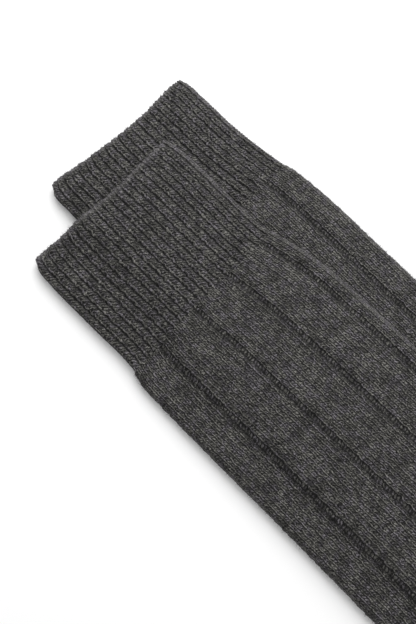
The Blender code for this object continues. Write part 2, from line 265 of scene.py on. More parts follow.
UNDER_LAY = SockLay(
    layer=Layer.UNDER,
    place=(28.9, 22.0),
    turn=math.radians(1.0),
    mouth_rises=(2.4, 2.0, 0.5, -0.1, -0.2, 0.4, 0.9, 2.2, 3.0),
    first_ditch=13.7,
    seed=11,
    edge_shifts=(
        *((0.4, 1.2), (0.5, 1.0), (0.0, 1.8), (0.5, 1.6)),
        *((3.0, 1.0), (2.6, 1.0), (1.2, 0.0), (0.0, -0.2), (-0.2, -0.4)),
    ),
)
TOP_LAY = SockLay(
    layer=Layer.TOP,
    place=(2.8, 1.2),
    turn=0.0,
    mouth_rises=(1.8, 1.1, 0.2, -0.7, -0.9, 0.3, 1.5, 2.1, 2.5),
    first_ditch=7.6,
    seed=29,
    edge_shifts=(
        *((-1.0, -0.8), (-1.0, -0.6), (-1.0, -0.3), (-1.0, -0.5)),
        *((-0.9, -1.1), (-0.8, -0.6), (-0.7, 0.2), (-0.6, 0.5), (-0.4, 0.8), (-0.2, 0.6)),
    ),
)


def moved_on(line: Array, gap: float) -> Array:
    """A section line moved square to itself.

    Args:
        line: Front x, front y, back x, back y and middle.
        gap: How far it moves towards the toe.

    Returns:
        The moved line.
    """
    run = line[2:4] - line[:2]
    towards_toe = np.array([-run[1], run[0]]) / np.linalg.norm(run)
    return line + gap * np.concatenate([towards_toe, towards_toe, [0.0]])


@dataclass
class DistanceField:
    """Signed distance from a closed outline, kept on a grid. It is positive inside."""

    outline: Array
    step: float = 0.75
    margin: float = 16.0
    points_at_once: int = 4000
    low: Array = field(init=False)
    grid: Array = field(init=False)

    def __post_init__(self) -> None:
        """Measures the grid once."""
        self.low = self.outline.min(0) - self.margin
        count = np.ceil((self.outline.max(0) + self.margin - self.low) / self.step).astype(int) + 1
        sides = [low + self.step * np.arange(n) for low, n in zip(self.low, count)]
        x, y = np.meshgrid(*sides, indexing="ij")
        points = np.column_stack([x.ravel(), y.ravel()])
        parts = np.array_split(points, len(points) // self.points_at_once + 1)
        self.grid = np.concatenate([self.measured(part) for part in parts]).reshape(x.shape)

    def measured(self, points: Array) -> Array:
        """Exact signed distance of a few points.

        Args:
            points: The points.

        Returns:
            One distance for each.
        """
        a, b = self.outline[:-1], self.outline[1:]
        run = b - a
        to_point = points[:, None, :] - a[None]
        share = np.clip((to_point * run).sum(2) / (run * run).sum(1), 0.0, 1.0)
        distance = np.linalg.norm(to_point - share[..., None] * run, axis=2).min(1)
        x, y = points[:, :1], points[:, 1:]
        start, end = self.outline, np.roll(self.outline, -1, axis=0)
        rise = end[:, 1] - start[:, 1]
        rise = np.where(rise == 0.0, 1e-9, rise)
        crosses = (start[:, 1] > y) != (end[:, 1] > y)
        at = start[:, 0] + (y - start[:, 1]) / rise * (end - start)[:, 0]
        is_inside = (crosses & (x < at)).sum(1) % 2 == 1
        return np.where(is_inside, distance, -distance)

    def at(self, points: Array) -> Array:
        """Signed distance read from the grid.

        Args:
            points: Any number of points.

        Returns:
            One distance for each.
        """
        place = (points - self.low) / self.step
        cell = np.clip(np.floor(place).astype(int), 0, np.array(self.grid.shape) - 2)
        s, t = np.clip(place - cell, 0.0, 1.0).T
        i, j = cell.T
        near = self.grid[i, j] * (1 - s) + self.grid[i + 1, j] * s
        far = self.grid[i, j + 1] * (1 - s) + self.grid[i + 1, j + 1] * s
        return near * (1 - t) + far * t


class SockForm:
    """One sock's outline and heights, and its place on the table."""

    def __init__(self, lay: SockLay, rests_on: SockForm | None = None) -> None:
        """Lays the sock out.

        Args:
            lay: How the sock lies.
            rests_on: The sock underneath, if there is one.
        """
        self.lay = lay
        self.rests_on = rests_on
        cosine, sine = math.cos(lay.turn), math.sin(lay.turn)
        self.turning = np.array([(cosine, -sine), (sine, cosine)])
        self.lines = np.array([line for _, line in LINES])
        self.lines[: len(lay.edge_shifts), [0, 2]] += lay.edge_shifts
        steps = np.diff(self.lines, axis=0)
        self.places = running(0.5 * (np.hypot(*steps.T[:2]) + np.hypot(*steps.T[2:4])))
        self.field = DistanceField(self.outline())

    def lines_at(self, places: Array) -> Array:
        """Section lines at any places along the sock, on a smooth curve through the table.

        Args:
            places: Distances along the sock from the mouth.

        Returns:
            An array of front x, front y, back x, back y and middle for each place.
        """
        slopes = np.gradient(self.lines, self.places, axis=0)
        k = np.searchsorted(self.places, places, side="right") - 1
        k = np.clip(k, 0, len(self.places) - 2)
        span = (self.places[k + 1] - self.places[k])[:, None]
        t = (places[:, None] - self.places[k][:, None]) / span
        return (
            (2 * t**3 - 3 * t**2 + 1) * self.lines[k]
            + (t**3 - 2 * t**2 + t) * span * slopes[k]
            + (3 * t**2 - 2 * t**3) * self.lines[k + 1]
            + (t**3 - t**2) * span * slopes[k + 1]
        )

    def outline(self) -> Array:
        """Draws the outline, open at the mouth.

        Returns:
            Points down the front edge, round the toe and up the back edge.
        """
        spans = zip(self.places, self.places[1:])
        places = [np.linspace(a, b, OUTLINE_SAMPLES, endpoint=False) for a, b in spans]
        lines = self.lines_at(np.concatenate(places + [self.places[-1:]]))
        first, last = moved_on(lines[0], -BEYOND_MOUTH), moved_on(lines[-1], BEYOND_TIP)
        lines = np.vstack([first, lines, last])
        return np.concatenate([lines[:, :2], lines[::-1, 2:4]])

    def span(self, zone: Zone) -> tuple[float, float]:
        """Places where a zone starts and ends."""
        own = [k for k, (owner, _) in enumerate(LINES) if owner is zone]
        return self.places[own[0]], self.places[min(own[-1] + 1, len(LINES) - 1)]

    def on_table(self, points: Array) -> Array:
        """Table points of own-frame points."""
        return points @ self.turning + self.lay.place

    def from_table(self, points: Array) -> Array:
        """Own-frame points of table points."""
        return (points - self.lay.place) @ self.turning.T

    def lift(self, points: Array) -> Array:
        """How far the sock underneath raises this one.

        Args:
            points: Own-frame points.

        Returns:
            One rise for each.
        """
        if self.rests_on is None:
            return np.zeros(len(points))
        distance = self.rests_on.field.at(self.rests_on.from_table(self.on_table(points)))
        reach = SIZE.drape_outside + SIZE.drape_inside
        top = SIZE.upper_height(np.maximum(distance, SIZE.drape_inside)) + SIZE.rest_gap
        return top * smoothstep((distance + SIZE.drape_outside) / reach)

    def to_row(self, points: Array, height: Array) -> Array:
        """Row-frame points in metres of own-frame points at heights over what the sock lies on."""
        table = self.on_table(points) - ROW_ORIGIN
        return np.column_stack([table, height + self.lift(points)]) * MM

    def raise_mouth(self, points: Array, share: Array) -> None:
        """Moves points near the mouth up the leg.

        Args:
            points: Own-frame points, which are changed.
            share: Their shares of the flat width from the front edge.
        """
        rises = self.lay.mouth_rises
        rise = np.interp(share, np.linspace(0.0, 1.0, len(rises)), rises)
        points[:, 1] += smoothstep(points[:, 1] / MOUTH_Y) * rise


@dataclass
class Columns:
    """The columns of points across a flat sock, from its front edge round to the front again.

    from_front is each column's distance from the front edge on a full-width leg. is_upper tells
    the face that shows from the underside. stitch is the column's place in wales or ribs, which
    grows towards the front, so that it grows to the right seen with the mouth up.
    """

    from_front: Array
    is_upper: Array
    stitch: Array

    @property
    def share(self) -> Array:
        """Share of the flat width from the front edge."""
        return self.from_front / SIZE.leg_width

    @property
    def round_share(self) -> Array:
        """Share of the whole way round."""
        return np.where(self.is_upper, 0.5 * self.share, 1.0 - 0.5 * self.share)

    @property
    def from_edge(self) -> Array:
        """Distance from the nearer folded edge."""
        return np.minimum(self.from_front, SIZE.leg_width - self.from_front)


@dataclass
class Rows:
    """The rows of points down a zone: their section lines and their places in courses.

    course is one place a row where the courses follow the rows. It is left out where the courses
    run straight across the leg whatever the rows do.
    """

    lines: Array
    course: Array | None

    @property
    def from_mouth(self) -> Array:
        """Distance of each row from the zone's first."""
        return (self.course - self.course[0]) * SIZE.course_pitch


@dataclass
class Outside:
    """The points of a zone's outside while they are shaped, ring by ring.

    flat holds their own-frame points and height their heights. course is their place in courses,
    and relief is how deep the knit goes there.
    """

    columns: Columns
    rows: Rows
    flat: Array
    height: Array
    course: Array
    relief: Array

    @property
    def shape(self) -> tuple[int, int]:
        """Numbers of rings and of points in a ring."""
        return len(self.rows.lines), len(self.columns.stitch)

    def per_point(self, of_column: Array) -> Array:
        """A value of each column, given to all its points."""
        return np.tile(of_column, self.shape[0])

    def per_row_point(self, of_row: Array) -> Array:
        """A value of each row, given to all its points."""
        return np.repeat(of_row, self.shape[1])


class Spacing:
    """Turns distances round a flat sock's folded edges into distances across it, and back."""

    SAMPLES = 4000

    def __init__(self) -> None:
        """Measures the arc over one face of a full-width leg."""
        self.flat = 0.5 * SIZE.leg_width * (1.0 - np.cos(np.linspace(0.0, math.pi, self.SAMPLES)))
        rise = SIZE.half * SIZE.fold_round(np.minimum(self.flat, SIZE.leg_width - self.flat))
        self.arc = running(np.hypot(np.diff(self.flat), np.diff(rise)))

    @property
    def whole(self) -> float:
        """Arc length over one face."""
        return float(self.arc[-1])

    def arc_at(self, from_front: Array | float) -> Array:
        """Arc length from the front edge at a distance across."""
        return np.interp(from_front, self.flat, self.arc)

    def across_at(self, arc: Array) -> Array:
        """Distance across at an arc length from the front edge."""
        return np.interp(arc, self.arc, self.flat)


SPACING = Spacing()


@dataclass(frozen=True)
class Bump:
    """A smooth bump across a stitch. The higher its power, the squarer it is."""

    middle: float
    width: float
    power: float = 2.0

    def at(self, across: Array) -> Array:
        """Height of the bump, from 0 to 1."""
        return np.exp(-(np.abs((across - self.middle) / self.width) ** self.power))


class Stitches:
    """Heights of the knitted stitches, with each stitch a little unlike the next."""

    CELLS = 256
    PLAIN_LEFT, PLAIN_RIGHT = Bump(0.25, 0.17), Bump(0.74, 0.19)
    PURL_BOWL, PURL_HEAD, PURL_EDGE = Bump(0.0, 0.80, 4.0), Bump(0.0, 0.38), Bump(0.56, 0.24)
    RIB_LEFT, RIB_RIGHT, RIB_BODY = Bump(0.21, 0.10), Bump(0.61, 0.23, 4.0), Bump(0.5, 0.43, 10.0)

    def __init__(self, seed: int) -> None:
        """Draws the table of stitch-to-stitch differences."""
        random = np.random.default_rng(seed)
        self.table = random.uniform(-1.0, 1.0, (self.CELLS, self.CELLS))

    def uneven(self, column: Array, row: Array) -> Array:
        """One number from -1 to 1 for each stitch."""
        places = (np.floor(place).astype(int) % self.CELLS for place in (column, row))
        return self.table[tuple(places)]

    def strokes(self, across: Array, course: Array, middle: float, slant: float) -> Array:
        """Slanting strokes, one a course, from 0 to 1."""
        return 0.5 + 0.5 * np.cos(math.tau * (course - slant * (across - middle)))

    def plain(self, wale: Array, course: Array) -> Array:
        """Shapes plain stitches.

        Args:
            wale: Place of each point in wales.
            course: Its place in courses.

        Returns:
            Its height, from 0 between stitches to 1 on top.
        """
        across = wale % 1.0
        stroke = self.strokes(across, course, 0.74, 1.7)
        left = self.PLAIN_LEFT.at(across) * (0.86 + 0.14 * stroke)
        right = self.PLAIN_RIGHT.at(across) * (0.25 + 0.75 * stroke)
        return np.maximum(left, right) * (1.0 + 0.25 * self.uneven(2.0 * wale, course))

    def purl_ditch(self, wale: Array, course: Array) -> Array:
        """Shapes the sunk purl wales between panels.

        Args:
            wale: Place of each point in wales.
            course: Its place in courses.

        Returns:
            How deep it lies, from 0 to 1.
        """
        panel = SIZE.panel_wales
        off = (wale - 0.5 + panel / 2) % panel - panel / 2
        head = 0.5 + 0.5 * np.cos(math.tau * (course + 0.5 * off))
        bump = self.PURL_HEAD.at(off) * head * (1.0 + 0.5 * self.uneven(wale, course))
        edge = self.PURL_EDGE.at(off) * (1.0 - head)
        return self.PURL_BOWL.at(off) * (0.80 - 0.45 * bump + 0.30 * edge)

    def rib(self, rib: Array, course: Array) -> Array:
        """Shapes a 1x1 rib.

        Args:
            rib: Place of each point in ribs.
            course: Its place in courses.

        Returns:
            Its height, from 0 in the groove to 1 on top.
        """
        across = rib % 1.0
        stroke = self.strokes(across, course, 0.62, 2.2)
        left = self.RIB_LEFT.at(across) * 0.98
        right = self.RIB_RIGHT.at(across) * (0.72 + 0.28 * stroke)
        body = self.RIB_BODY.at(across) * 0.66
        loose = 0.5 + 0.5 * self.uneven(rib + 0.5, 1.3 * course)
        bridge = np.maximum(1.0 - 9.0 * (0.5 - np.abs(across - 0.5)), 0.0) * 0.6 * loose
        height = np.maximum(np.maximum(left, right), np.maximum(body, bridge))
        return height * (1.0 + 0.10 * self.uneven(2.0 * rib, course))


@dataclass(frozen=True)
class Halo:
    """Loose fibres that stand off the cloth, each a thin closed spike with a bend in it.

    density is how many there are on a square millimetre, and fringe_density how many more where
    the cloth turns over at a fold or the mouth. Lengths are in millimetres. rises and bends are the
    least and the most that a fibre stands up and bends, and droop how far its tip comes back down,
    as shares of its length. taper is its width half-way up as a share of that at its root.
    """

    density: float = 0.04
    fringe_density: float = 1.5
    shortest: float = 0.5
    longest: float = 1.9
    radius: float = 0.05
    sunk: float = 0.15
    rises: tuple[float, float] = (0.15, 0.75)
    bends: tuple[float, float] = (0.1, 0.4)
    droop: float = 0.25
    taper: float = 0.8

    def roots(
        self, outer: Array, fringe: Array, random: np.random.Generator
    ) -> tuple[Array, Array]:
        """Draws where the fibres stand.

        Args:
            outer: Points of the outside, ring by ring, in metres.
            fringe: How much the cloth turns over at each point of the upper face, from 0 to 1.
            random: Source of the draws.

        Returns:
            The fibres' roots and the cloth's normals there.
        """
        grid = outer[:, : fringe.shape[1]] / MM
        along, across = grid[1:, :-1] - grid[:-1, :-1], grid[:-1, 1:] - grid[:-1, :-1]
        normal = np.cross(along, across)
        area = np.linalg.norm(normal, axis=2)
        normal = normal / np.maximum(area, 1e-9)[..., None]
        normal = normal * np.where(normal[..., 2:] < -0.3, -1.0, 1.0)
        wanted = area * (self.density + self.fringe_density * fringe[:-1, :-1])
        count = int(wanted.sum())
        cell = random.choice(wanted.size, count, p=(wanted / wanted.sum()).ravel())
        ring, column = np.unravel_index(cell, wanted.shape)
        share = random.uniform(size=(count, 2, 1))
        root = grid[ring, column] + share[:, 0] * along[ring, column]
        return root + share[:, 1] * across[ring, column], normal[ring, column]

    def grow(self, outer: Array, fringe: Array, seed: int) -> tuple[Array, Array, Array]:
        """Makes the fibres of one zone.

        Args:
            outer: Points of the outside, ring by ring, in metres.
            fringe: How much the cloth turns over at each point of the upper face, from 0 to 1.
            seed: Seed of the draws.

        Returns:
            Seven points for each fibre in metres, then its four-sided and its three-sided faces.
        """
        random = np.random.default_rng(seed)
        root, normal = self.roots(outer, fringe, random)
        count = len(root)
        lean = np.cross(normal, random.normal(size=(count, 3)))
        lean /= np.linalg.norm(lean, axis=1, keepdims=True)
        length = random.uniform(self.shortest, self.longest, (count, 1))
        rise = random.uniform(*self.rises, (count, 1))
        way = rise * normal + np.sqrt(1.0 - rise**2) * lean
        bend = np.cross(way, random.normal(size=(count, 3)))
        bend = bend * random.uniform(*self.bends, (count, 1))
        side = np.cross(way, lean + 0.3 * normal)
        side /= np.linalg.norm(side, axis=1, keepdims=True)
        other = np.cross(way, side)
        start = root - self.sunk * normal
        middle = root + 0.5 * length * way
        tip = root + length * (way + bend - self.droop * rise * normal)
        points = [
            centre + radius * (math.cos(turn) * side + math.sin(turn) * other)
            for centre, radius in ((start, self.radius), (middle, self.taper * self.radius))
            for turn in (0.0, math.tau / 3, 2 * math.tau / 3)
        ]
        points = np.stack(points + [tip], axis=1) * MM
        first = 7 * np.arange(count)[:, None, None]
        quads = first + np.array([(0, 1, 4, 3), (1, 2, 5, 4), (2, 0, 3, 5)])
        triangles = first + np.array([(2, 1, 0), (3, 4, 6), (4, 5, 6), (5, 3, 6)])
        return points.reshape(-1, 3), quads.reshape(-1, 4), triangles.reshape(-1, 3)


@dataclass
class KnitZone:
    """One knitted zone of one sock, as a closed wall of cloth.

    columns_per_stitch and rows_per_course set how fine the face that shows is. The underside has
    lower_columns columns.
    """

    form: SockForm
    zone: Zone
    rows_per_course: float = 2.0
    inner_rows: int = 12
    halo: Halo = Halo()
    columns_per_stitch: int = 4
    lower_columns: int = 44
    inner_columns: int = 24
    stitches: Stitches = field(init=False)

    EDGE_REACH = 2.4  # how far in from a fold its stitches turn over
    DEEPEST_NOTCH = 0.6  # between two of them
    HEAVE = (34.0, 0.14)  # wavelength and height of the upper face's swell
    HEAVE_REACH = 8.0
    SWAY = (60.0, 0.10)  # the same of the wales' wandering across the sock
    RAGGED = (3.4, 0.13)  # and of how uneven they are stitch by stitch
    SWAY_REACH = 6.0
    PANELS_END = 0.5  # where the foot's panels end, as a share of its flat width
    PANELS_END_SHARPLY = 24.0
    DRAWN_PANELS_END = 0.46
    OUTERMOST_ARC = 0.05
    GREATEST_INSET = 0.3  # of the inside, as a share of the flat width
    INSIDE_LOWER = 0.2  # than the solid's inside
    FRINGE_WIDTH = 1.2
    # painted highlight along the front fold, which faces the key light: its strength and width
    FRONT_FOLD_HIGHLIGHT = 0.35
    FRONT_FOLD_HIGHLIGHT_WIDTH = 2.6

    def __post_init__(self) -> None:
        """Draws the zone's own stitches."""
        self.stitches = Stitches(self.form.lay.seed + len(self.zone.value))

    @property
    def node(self) -> str:
        """The CAD node that the piece stands for."""
        return f"{self.form.lay.layer.value}_{self.zone.value}"

    def round_both_faces(self, upper: Array, stitch: Array, stitches_below: float) -> Columns:
        """Carries the columns of the upper face on round the underside.

        Args:
            upper: Distances of the upper face's columns from the front edge.
            stitch: Their places in wales or ribs.
            stitches_below: How many wales or ribs the underside has.

        Returns:
            All the columns.
        """
        whole = SPACING.whole
        arc = np.linspace(whole, 0.0, self.lower_columns + 2)[1:-1]
        below = stitch[-1] - (whole - arc) / whole * stitches_below
        return Columns(
            from_front=np.concatenate([upper, SPACING.across_at(arc)]),
            is_upper=np.arange(len(upper) + len(arc)) < len(upper),
            stitch=np.concatenate([stitch, below]),
        )

    def columns(self) -> Columns:
        """Sets out the columns of points, with the first ditch in the middle of wale 0.

        Returns:
            The columns, with their places in wales.
        """
        pitch, whole = SIZE.wale_pitch, SPACING.whole
        ditch = SPACING.arc_at(self.form.lay.first_ditch)
        step = 1.0 / self.columns_per_stitch
        last = math.floor((0.5 + ditch / pitch) / step) * step
        arc = ditch + (0.5 - np.arange(last, 0.5 - (whole - ditch) / pitch, -step)) * pitch
        arc = arc[(arc > self.OUTERMOST_ARC) & (arc < whole - self.OUTERMOST_ARC)]
        arc = np.concatenate([[0.0], arc, [whole]])
        below = SIZE.panel_wales * SIZE.panels - whole / pitch
        return self.round_both_faces(SPACING.across_at(arc), 0.5 - (arc - ditch) / pitch, below)

    def rows(self) -> Rows:
        """Sets out the zone's rows of points.

        Returns:
            The rows, evenly spaced.
        """
        start, end = self.form.span(self.zone)
        count = max(2, round((end - start) / SIZE.course_pitch * self.rows_per_course))
        places = np.linspace(start, end, count + 1)
        return Rows(self.form.lines_at(places), places / SIZE.course_pitch)

    def flat_points(self, lines: Array, share: Array) -> Array:
        """Lays points along section lines.

        Args:
            lines: The lines.
            share: Shares of the flat width from the front edge.

        Returns:
            Own-frame points of every line and share, line after line.
        """
        middle = lines[:, 4:5]
        back_half = middle + (2.0 * share - 1.0) * (1.0 - middle)
        share_here = np.where(share <= 0.5, 2.0 * middle * share, back_half)[..., None]
        front, back = lines[:, None, :2], lines[:, None, 2:4]
        return (front + share_here * (back - front)).reshape(-1, 2)

    def relief(self, wale: Array, course: Array, share: Array) -> Array:
        """Shapes the knit before it fades at the edges.

        Args:
            wale: Place of each point in wales, or in ribs on the cuff.
            course: Its place in courses.
            share: Its share of the flat width from the front edge.

        Returns:
            Its depth under the top of the cloth.
        """
        ditch = self.stitches.purl_ditch(wale, course)
        if self.zone is Zone.FOOT:
            ditch = ditch * smoothstep((self.PANELS_END - share) * self.PANELS_END_SHARPLY)
        elif self.zone is Zone.TOE:
            ditch = 0.0 * ditch
        plain = SIZE.stitch_depth * (1.0 - self.stitches.plain(wale, course))
        return SIZE.ditch_depth * ditch + plain * (1.0 - np.minimum(ditch * 1.4, 1.0))

    def outside(self) -> Outside:
        """Shapes the outside with its crown, folds, stitches and slight unevenness.

        Returns:
            Its points in the sock's own frame.
        """
        form, columns, rows = self.form, self.columns(), self.rows()
        share = np.tile(columns.share, len(rows.lines))
        is_upper = np.tile(columns.is_upper, len(rows.lines))
        flat = self.flat_points(rows.lines, columns.share)
        course = -flat[:, 1] / SIZE.course_pitch
        if rows.course is not None:
            course = np.repeat(rows.course, len(columns.stitch))
        distance = np.maximum(form.field.at(flat), 0.0)
        distance[np.isin(share, (0.0, 1.0))] = 0.0
        relief = self.relief(np.tile(columns.stitch, len(rows.lines)), course, share)
        at_fold = smoothstep(distance / self.EDGE_REACH)
        heave = Ripple(form.lay.seed + 1, *self.HEAVE).at(flat, 0.5)
        heave = heave * smoothstep(distance / self.HEAVE_REACH)
        above = SIZE.upper_height(distance) + heave
        below = SIZE.half * (1.0 - SIZE.fold_round(distance))
        height = np.where(is_upper, above - relief * at_fold, below)
        out = (SIZE.stitch_depth - 2.0 * relief) * (1.0 - at_fold)
        outward = np.where(share < 0.5, 1.0, -1.0) * np.maximum(out, -self.DEEPEST_NOTCH)
        flat[:, 0] += outward * (distance < self.EDGE_REACH) * is_upper
        sway = Ripple(form.lay.seed, *self.SWAY).at(flat, 0.6)
        ragged = Ripple(form.lay.seed + 2, *self.RAGGED).at(flat)
        flat[:, 0] += (sway + ragged) * smoothstep(distance / self.SWAY_REACH)
        form.raise_mouth(flat, share)
        outside = Outside(columns, rows, flat, height, course, relief)
        self.finish_ends(outside)
        return outside

    def finish_ends(self, outside: Outside) -> None:
        """Makes a zone's own last changes to its outside."""

    def inner(self) -> tuple[Array, Array]:
        """Lays out the plain inside.

        Returns:
            Its points, ring by ring, and each column's share of the way round.
        """
        form, lines = self.form, self.rows().lines
        keep = np.unique(np.linspace(0, len(lines) - 1, self.inner_rows).round().astype(int))
        lines = lines[keep][:-1] if self.zone is Zone.TOE else lines[keep]
        width = np.linalg.norm(lines[:, 2:4] - lines[:, :2], axis=1, keepdims=True)
        inset = np.minimum(SIZE.inner_inset / width, self.GREATEST_INSET)
        spaced = np.linspace(0.0, 1.0, self.inner_columns)
        spaced = np.concatenate([spaced, spaced[-2:0:-1]])
        share = inset + (1.0 - 2.0 * inset) * spaced
        front, back = lines[:, None, :2], lines[:, None, 2:4]
        flat = (front + share[..., None] * (back - front)).reshape(-1, 2)
        distance = np.maximum(form.field.at(flat), 0.0)
        index = np.arange(len(spaced))
        is_upper = index < self.inner_columns
        at_fold = np.tile(np.isin(index, (0, self.inner_columns - 1)), len(lines))
        above = SIZE.half + SIZE.slit / 2 + SIZE.crown_at(distance) - self.INSIDE_LOWER
        height = np.where(np.tile(is_upper, len(lines)), above, SIZE.half - SIZE.slit / 2)
        height[at_fold] = SIZE.half
        form.raise_mouth(flat, share.ravel())
        points = form.to_row(flat, height).reshape(len(lines), len(spaced), 3)
        return points, np.where(is_upper, 0.5 * spaced, 1.0 - 0.5 * spaced)

    def drawn_stitches(self, columns: Columns) -> tuple[Array, Array]:
        """Places the drawing of the stitches, without purl wales on the sole and the toe.

        Args:
            columns: The zone's columns.

        Returns:
            Place in wales or ribs of both sides of each column of faces.
        """
        here = columns.stitch
        there = np.append(here[1:], 2.0 * here[-1] - here[-2])
        is_bare = np.full(len(here), self.zone is Zone.TOE)
        if self.zone is Zone.FOOT:
            is_bare = (columns.share > self.DRAWN_PANELS_END) | ~columns.is_upper
        base = np.floor(np.minimum(here, there) + 1e-6)
        moved = np.where(is_bare, 1.0 + base % (SIZE.panel_wales - 2) - base, 0.0)
        return here + moved, there + moved

    def build(self) -> bpy.types.Object:
        """Makes the zone's mesh with its stitch map, its map of the halo and painted highlight, and
        its bake map.

        Returns:
            The new piece.
        """
        outside = self.outside()
        columns, rows, shape = outside.columns, outside.rows, outside.shape
        outer = self.form.to_row(outside.flat, outside.height).reshape(*shape, 3)
        inner, inner_share = self.inner()
        wall = WallMesh(f"{self.node}_knit")
        # halo of loose fibres and painted highlight, along the front fold and a cuff's mouth
        halo = self.halo_and_painted_highlight(columns, rows)
        wall.add_outside(
            outer, columns, self.drawn_stitches(columns), outside.course.reshape(shape), halo
        )
        wall.add_inside(inner)
        wall.close_end(0, columns.round_share, 0, inner_share)
        if self.zone is Zone.TOE:
            wall.cap_ends()
        else:
            wall.close_end(shape[0] - 1, columns.round_share, len(inner) - 1, inner_share)
        fringe = self.fringe(columns, rows)[:, columns.is_upper]
        wall.add_fibres(*self.halo.grow(outer, fringe, self.form.lay.seed + 3))
        return wall.finish(smooth_mouth=self.zone is Zone.CUFF)

    def fringe(self, columns: Columns, rows: Rows) -> Array:
        """How much the cloth turns over at each point, from 0 to 1, ring by ring."""
        at_fold = 1.0 - smoothstep(columns.from_edge / self.FRINGE_WIDTH)
        return np.tile(at_fold, (len(rows.lines), 1))

    def halo_and_painted_highlight(self, columns: Columns, rows: Rows) -> Array:
        """Painted highlight along the front fold, which faces the key light, from 0 to 1, ring by
        ring.
        """
        along_fold = 1.0 - smoothstep(columns.from_front / self.FRONT_FOLD_HIGHLIGHT_WIDTH)
        return np.tile(self.FRONT_FOLD_HIGHLIGHT * along_fold, (len(rows.lines), 1))

    def cut(self) -> tuple[tuple[float, float], float]:
        """The zone's cut as knitted: its greatest way round by its length, and its area.

        Returns:
            The two sizes in metres, and the area in square metres.
        """
        lines = self.rows().lines
        width = np.linalg.norm(lines[:, 2:4] - lines[:, :2], axis=1)
        fold = SPACING.whole - SIZE.leg_width
        centre = 0.5 * (lines[:, :2] + lines[:, 2:4])
        steps = np.linalg.norm(np.diff(centre, axis=0), axis=1)
        around = 2.0 * (width + fold)
        area = float((0.5 * (around[1:] + around[:-1]) * steps).sum())
        return (float(around.max()) * MM, float(steps.sum()) * MM), area * MM * MM


